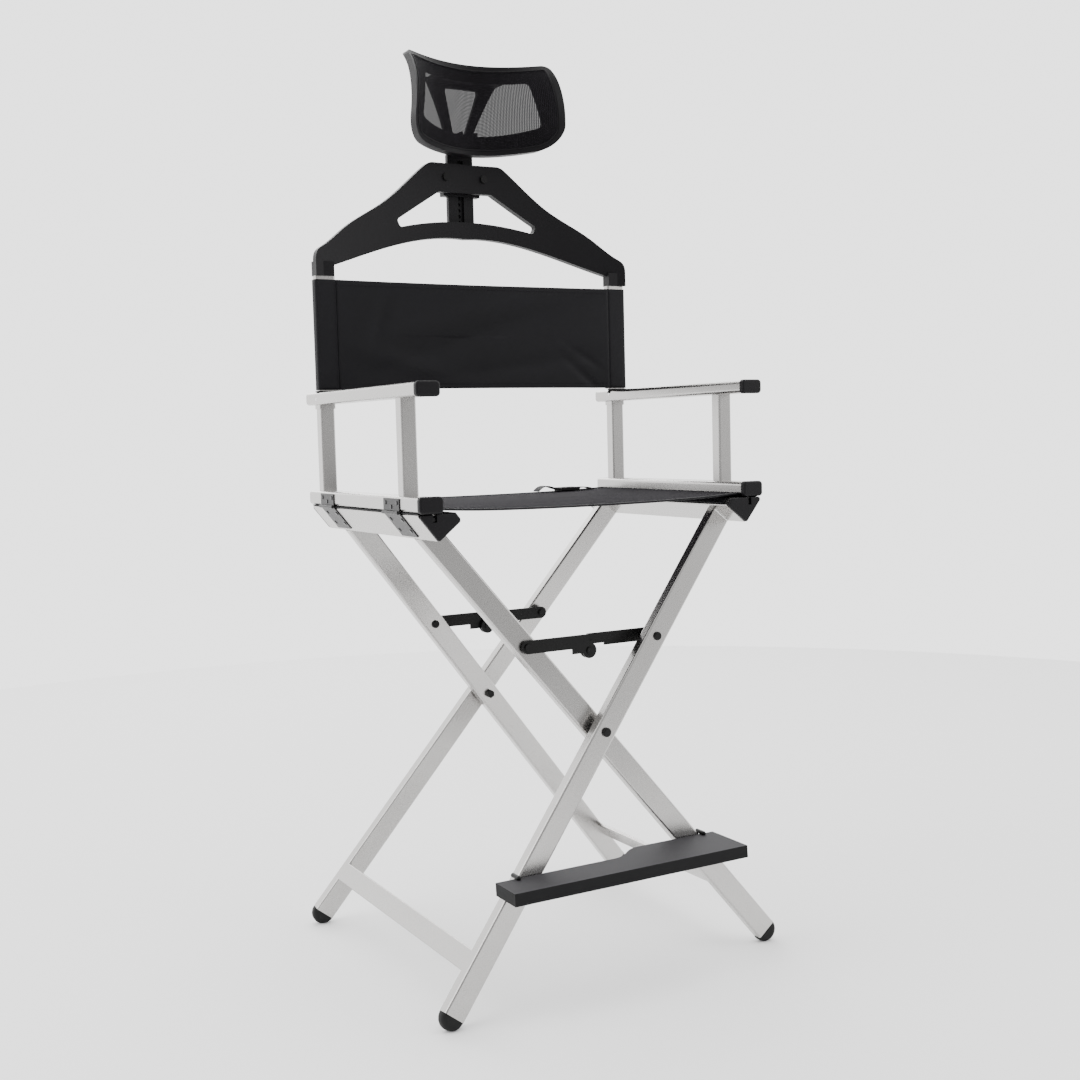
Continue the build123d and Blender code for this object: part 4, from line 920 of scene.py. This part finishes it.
@dataclass
class SeatStrap:
    """The strap and its slider near the rear of the seat."""

    wardrobe: Wardrobe
    fold: FoldLaw
    rail_inner: float = RAIL_INNER
    length: float = 0.130
    width: float = 0.022

    def build(self, nodes: dict[str, bpy.types.Object]) -> list[bpy.types.Object]:
        """Copies the strap and the slider onto the right arm.

        Args:
            nodes: the CAD nodes.

        Returns:
            The pieces.
        """
        pieces = []
        for name, node, slot in (("strap_webbing", "seat_strap", "black_fabric"),
                                 ("strap_slider", "strap_buckle", "black_plastic")):
            piece = copy_node(name, nodes[node])
            self.wardrobe.dress(piece, slot)
            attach(piece, Side.RIGHT.arm)
            self.fold.keep(self.rail_inner)
            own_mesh(piece)
            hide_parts(node)
            pieces.append(piece)
        return pieces


@dataclass
class HeadrestNet:
    """The net that is stretched over the headrest's frame, and the piping round it."""

    wardrobe: Wardrobe
    piping_radius: float = 1.3 * MM
    piping_points: int = 260
    curve_share: float = 1.18

    def build(self, nodes: dict[str, bpy.types.Object]) -> list[bpy.types.Object]:
        """Builds the net as one skin on the front of its CAD solid, and the piping along its edge.

        Args:
            nodes: the CAD nodes.

        Returns:
            The pieces.
        """
        points, faces = front_skin(nodes["headrest_mesh"])
        net = make_mesh("net_skin", points, faces)
        self.wardrobe.dress(net, "headrest_mesh")
        path = rim_of(points, faces, self.piping_points)
        path = path + np.array([0.0, -0.3 * self.piping_radius, 0.0])
        piping = sweep_tube("net_piping", path, np.full(len(path), self.piping_radius))
        self.wardrobe.dress(piping, "black_plastic")
        for piece, slot in ((net, "headrest_mesh"), (piping, "black_plastic")):
            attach(piece, "headrest_pad")
        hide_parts("headrest_mesh")
        return [net, piping]


@dataclass
class WeldBeads:
    """The bright weld where each leg meets its seat rail, and the rivets near the rear of the arms."""

    wardrobe: Wardrobe
    lean: float = LEG_LEAN
    spread: float = 0.101
    pivot_height: float = PIVOT_HEIGHT
    leg_top: float = 416.4 * MM
    leg_half: float = 16.5 * MM
    leg_half_depth: float = 10.1 * MM
    middle_y: float = 20.09 * MM
    rivet_y: float = 196.0 * MM
    rivet_radius: float = 2.6 * MM
    rivet_rise: float = 0.8 * MM

    def build(self) -> list[bpy.types.Object]:
        """Builds the four beads and the two rivets.

        Returns:
            The pieces.
        """
        pieces = []
        for side, leg_y in ((Side.LEFT, 183.0 * MM), (Side.RIGHT, 215.0 * MM)):
            for end in (-1.0, 1.0):
                pieces.append(self._bead(side, leg_y, end))
        for side, x, z in ((Side.LEFT, -RAIL_OUTER, 927.0 * MM), (Side.RIGHT, RAIL_INNER, 931.0 * MM)):
            pieces.append(self._rivet(side, x, z))
        return pieces

    def _bead(self, side: Side, leg_y: float, end: float) -> bpy.types.Object:
        """A rippled bead across the leg's outside face: a thin tube whose radius swells in waves."""
        lean = np.radians(self.lean)
        n = np.linspace(-self.leg_half, self.leg_half, 70)
        y = end * (leg_y - self.spread * self.leg_top + self.leg_half_depth) + self.middle_y
        x = (n * np.cos(lean) - self.leg_top * np.sin(lean)) * -side.value
        z = self.pivot_height + self.leg_top * np.cos(lean) + n * np.sin(lean)
        path = np.stack([x, np.full_like(x, y), z], axis=1)
        bead = sweep_tube(f"weld_{side.word}_{'front' if end < 0 else 'rear'}", path,
                          (1.1 + 0.25 * np.sin(n * 3200.0)) * MM)
        self.wardrobe.dress(bead, "weld")
        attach(bead, side.frame)
        return bead

    def _rivet(self, side: Side, x: float, z: float) -> bpy.types.Object:
        """A low domed rivet head on the upper rail: a half circle turned round the X axis."""
        turn, rise = np.meshgrid(np.linspace(0.0, 2.0 * np.pi, 24, endpoint=False),
                                 np.linspace(0.02, 0.5 * np.pi, 6), indexing="ij")
        points = np.stack([np.full_like(turn, x) - np.cos(rise) * self.rivet_rise,
                           self.rivet_y + np.cos(turn) * np.sin(rise) * self.rivet_radius,
                           z + np.sin(turn) * np.sin(rise) * self.rivet_radius], axis=-1)
        rivet = make_surface("rivet_" + side.word, points[:, ::-1], wrap_u=True)
        self.wardrobe.dress(rivet, "weld")
        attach(rivet, side.arm)
        return rivet


@dataclass
class CadDressing:
    """The CAD nodes that show as they are, each with its finish."""

    wardrobe: Wardrobe

    def build(self, frame: dict) -> list[bpy.types.Object]:
        """Gives every CAD node the finish of its slot in the record.


        Returns:
            The nodes.
        """
        slots = {entry["node"]: entry["material_slot"] for entry in frame["record"]["subparts"]}
        for name, node in frame["nodes"].items():
            self.wardrobe.dress(node, slots[name])
        return list(frame["nodes"].values())


@dataclass
class Studio:
    """A plain white floor, soft lights and the camera at the photograph's angle."""

    eye: tuple[float, float, float] = (-1.1191, -2.0018, 0.8601)
    yaw: float = 29.32
    pitch: float = 4.42
    roll: float = -1.47
    lens: float = 45.76
    sensor: float = 36.0
    floor_radius: float = 3.2
    tent_light: float = 2.6
    room_light: float = 0.70
    sky_way: tuple[float, float, float] = (0.42, 0.86, 0.28)
    sky_range: tuple[float, float] = (-0.75, 0.55)
    aim: tuple[float, float, float] = (0.0, 0.0, 0.8)

    def build(self) -> None:
        """Builds the floor, the lights and the camera."""
        self._floor()
        self._lights()
        self._camera()

    def _floor(self) -> None:
        """A plain round floor at height 0: rings of points of growing radius round the middle."""
        turn, reach = np.meshgrid(np.linspace(0.0, 2.0 * np.pi, 96, endpoint=False),
                                  np.linspace(0.001, self.floor_radius, 4), indexing="ij")
        points = np.stack([np.cos(turn) * reach, np.sin(turn) * reach, np.zeros_like(turn)], axis=-1)
        floor = make_surface("studio_floor", points[:, ::-1], wrap_u=True, smooth=False)
        paint = bpy.data.materials.new("floor paint")
        paint.use_nodes = True
        shader = paint.node_tree.nodes["Principled BSDF"]
        shader.inputs["Base Color"].default_value = (0.96, 0.96, 0.96, 1.0)
        shader.inputs["Roughness"].default_value = 0.95
        shader.inputs["Specular IOR Level"].default_value = 0.0
        floor.data.materials.append(paint)

    def _lights(self) -> None:
        """An even white sky and three large soft panels."""
        scene = bpy.context.scene
        scene.world = self._sky()
        panels = (("key", (-3.4, 0.2, 2.6), 70.0, 2.4), ("fill", (2.8, -2.4, 2.4), 25.0, 2.0),
                  ("back", (0.6, 3.4, 2.8), 60.0, 2.6))
        for name, place, power, size in panels:
            light = bpy.data.lights.new(name, "AREA")
            light.energy = power
            light.size = size
            panel = bpy.data.objects.new(name, light)
            way = np.array(self.aim) - np.array(place)
            way /= np.linalg.norm(way)
            right = np.cross(way, (0.0, 0.0, 1.0))
            right /= np.linalg.norm(right)
            turn = np.stack([right, np.cross(right, way), -way], axis=1)
            panel.matrix_world = Matrix.Translation(place) @ Matrix(turn.tolist()).to_4x4()
            scene.collection.objects.link(panel)

    def _sky(self) -> bpy.types.World:
        """A soft white tent, bright behind the chair and dimmer in the room in front of it.

        Returns:
            The world.
        """
        world = bpy.data.worlds.new("studio tent")
        world.use_nodes = True
        nodes, links = world.node_tree.nodes, world.node_tree.links
        direction = nodes.new("ShaderNodeTexCoord")
        facing = nodes.new("ShaderNodeVectorMath")
        facing.operation = "DOT_PRODUCT"
        facing.inputs[1].default_value = self.sky_way
        links.new(direction.outputs["Generated"], facing.inputs[0])
        ramp = nodes.new("ShaderNodeMapRange")
        ramp.interpolation_type = "SMOOTHSTEP"
        ramp.inputs["From Min"].default_value = self.sky_range[0]
        ramp.inputs["From Max"].default_value = self.sky_range[1]
        ramp.inputs["To Min"].default_value = self.room_light
        ramp.inputs["To Max"].default_value = self.tent_light
        links.new(facing.outputs["Value"], ramp.inputs["Value"])
        links.new(ramp.outputs["Result"], nodes["Background"].inputs["Strength"])
        nodes["Background"].inputs["Color"].default_value = (1.0, 1.0, 1.0, 1.0)
        return world

    def _camera(self) -> None:
        """The camera fitted to the photograph."""
        yaw, pitch, roll = np.radians((self.yaw, self.pitch, self.roll))
        ahead = np.array([np.sin(yaw) * np.cos(pitch), np.cos(yaw) * np.cos(pitch), -np.sin(pitch)])
        level = np.array([np.cos(yaw), -np.sin(yaw), 0.0])
        upright = np.cross(level, ahead)
        right = np.cos(roll) * level + np.sin(roll) * upright
        up = -np.sin(roll) * level + np.cos(roll) * upright
        lens = bpy.data.cameras.new("photo camera")
        lens.lens = self.lens
        lens.sensor_width = self.sensor
        lens.sensor_fit = "HORIZONTAL"
        lens.clip_end = 200.0
        camera = bpy.data.objects.new("photo camera", lens)
        turn = Matrix(np.stack([right, up, -ahead], axis=1).tolist()).to_4x4()
        camera.matrix_world = Matrix.Translation(self.eye) @ turn
        bpy.context.scene.collection.objects.link(camera)
        bpy.context.scene.camera = camera


def corners(bounds: tuple) -> list[list[float]]:
    """Turns the two corners of a box into plain lists."""
    return [[float(value) for value in corner] for corner in bounds]


def main() -> None:
    """Builds the chair's looks in order."""
    logging.basicConfig(level=logging.INFO)
    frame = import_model()
    wardrobe = Wardrobe()
    fold = FoldLaw()
    groups = [CadDressing(wardrobe).build(frame), SeatCloth(wardrobe, fold).build(),
              BackCloth(wardrobe, fold).build(), SeatStrap(wardrobe, fold).build(frame["nodes"]),
              HeadrestNet(wardrobe).build(frame["nodes"]), WeldBeads(wardrobe).build()]
    for piece in [piece for group in groups for piece in group]:
        LOG.info("built %s", piece.name)
    Studio().build()


if __name__ == "__main__":
    main()
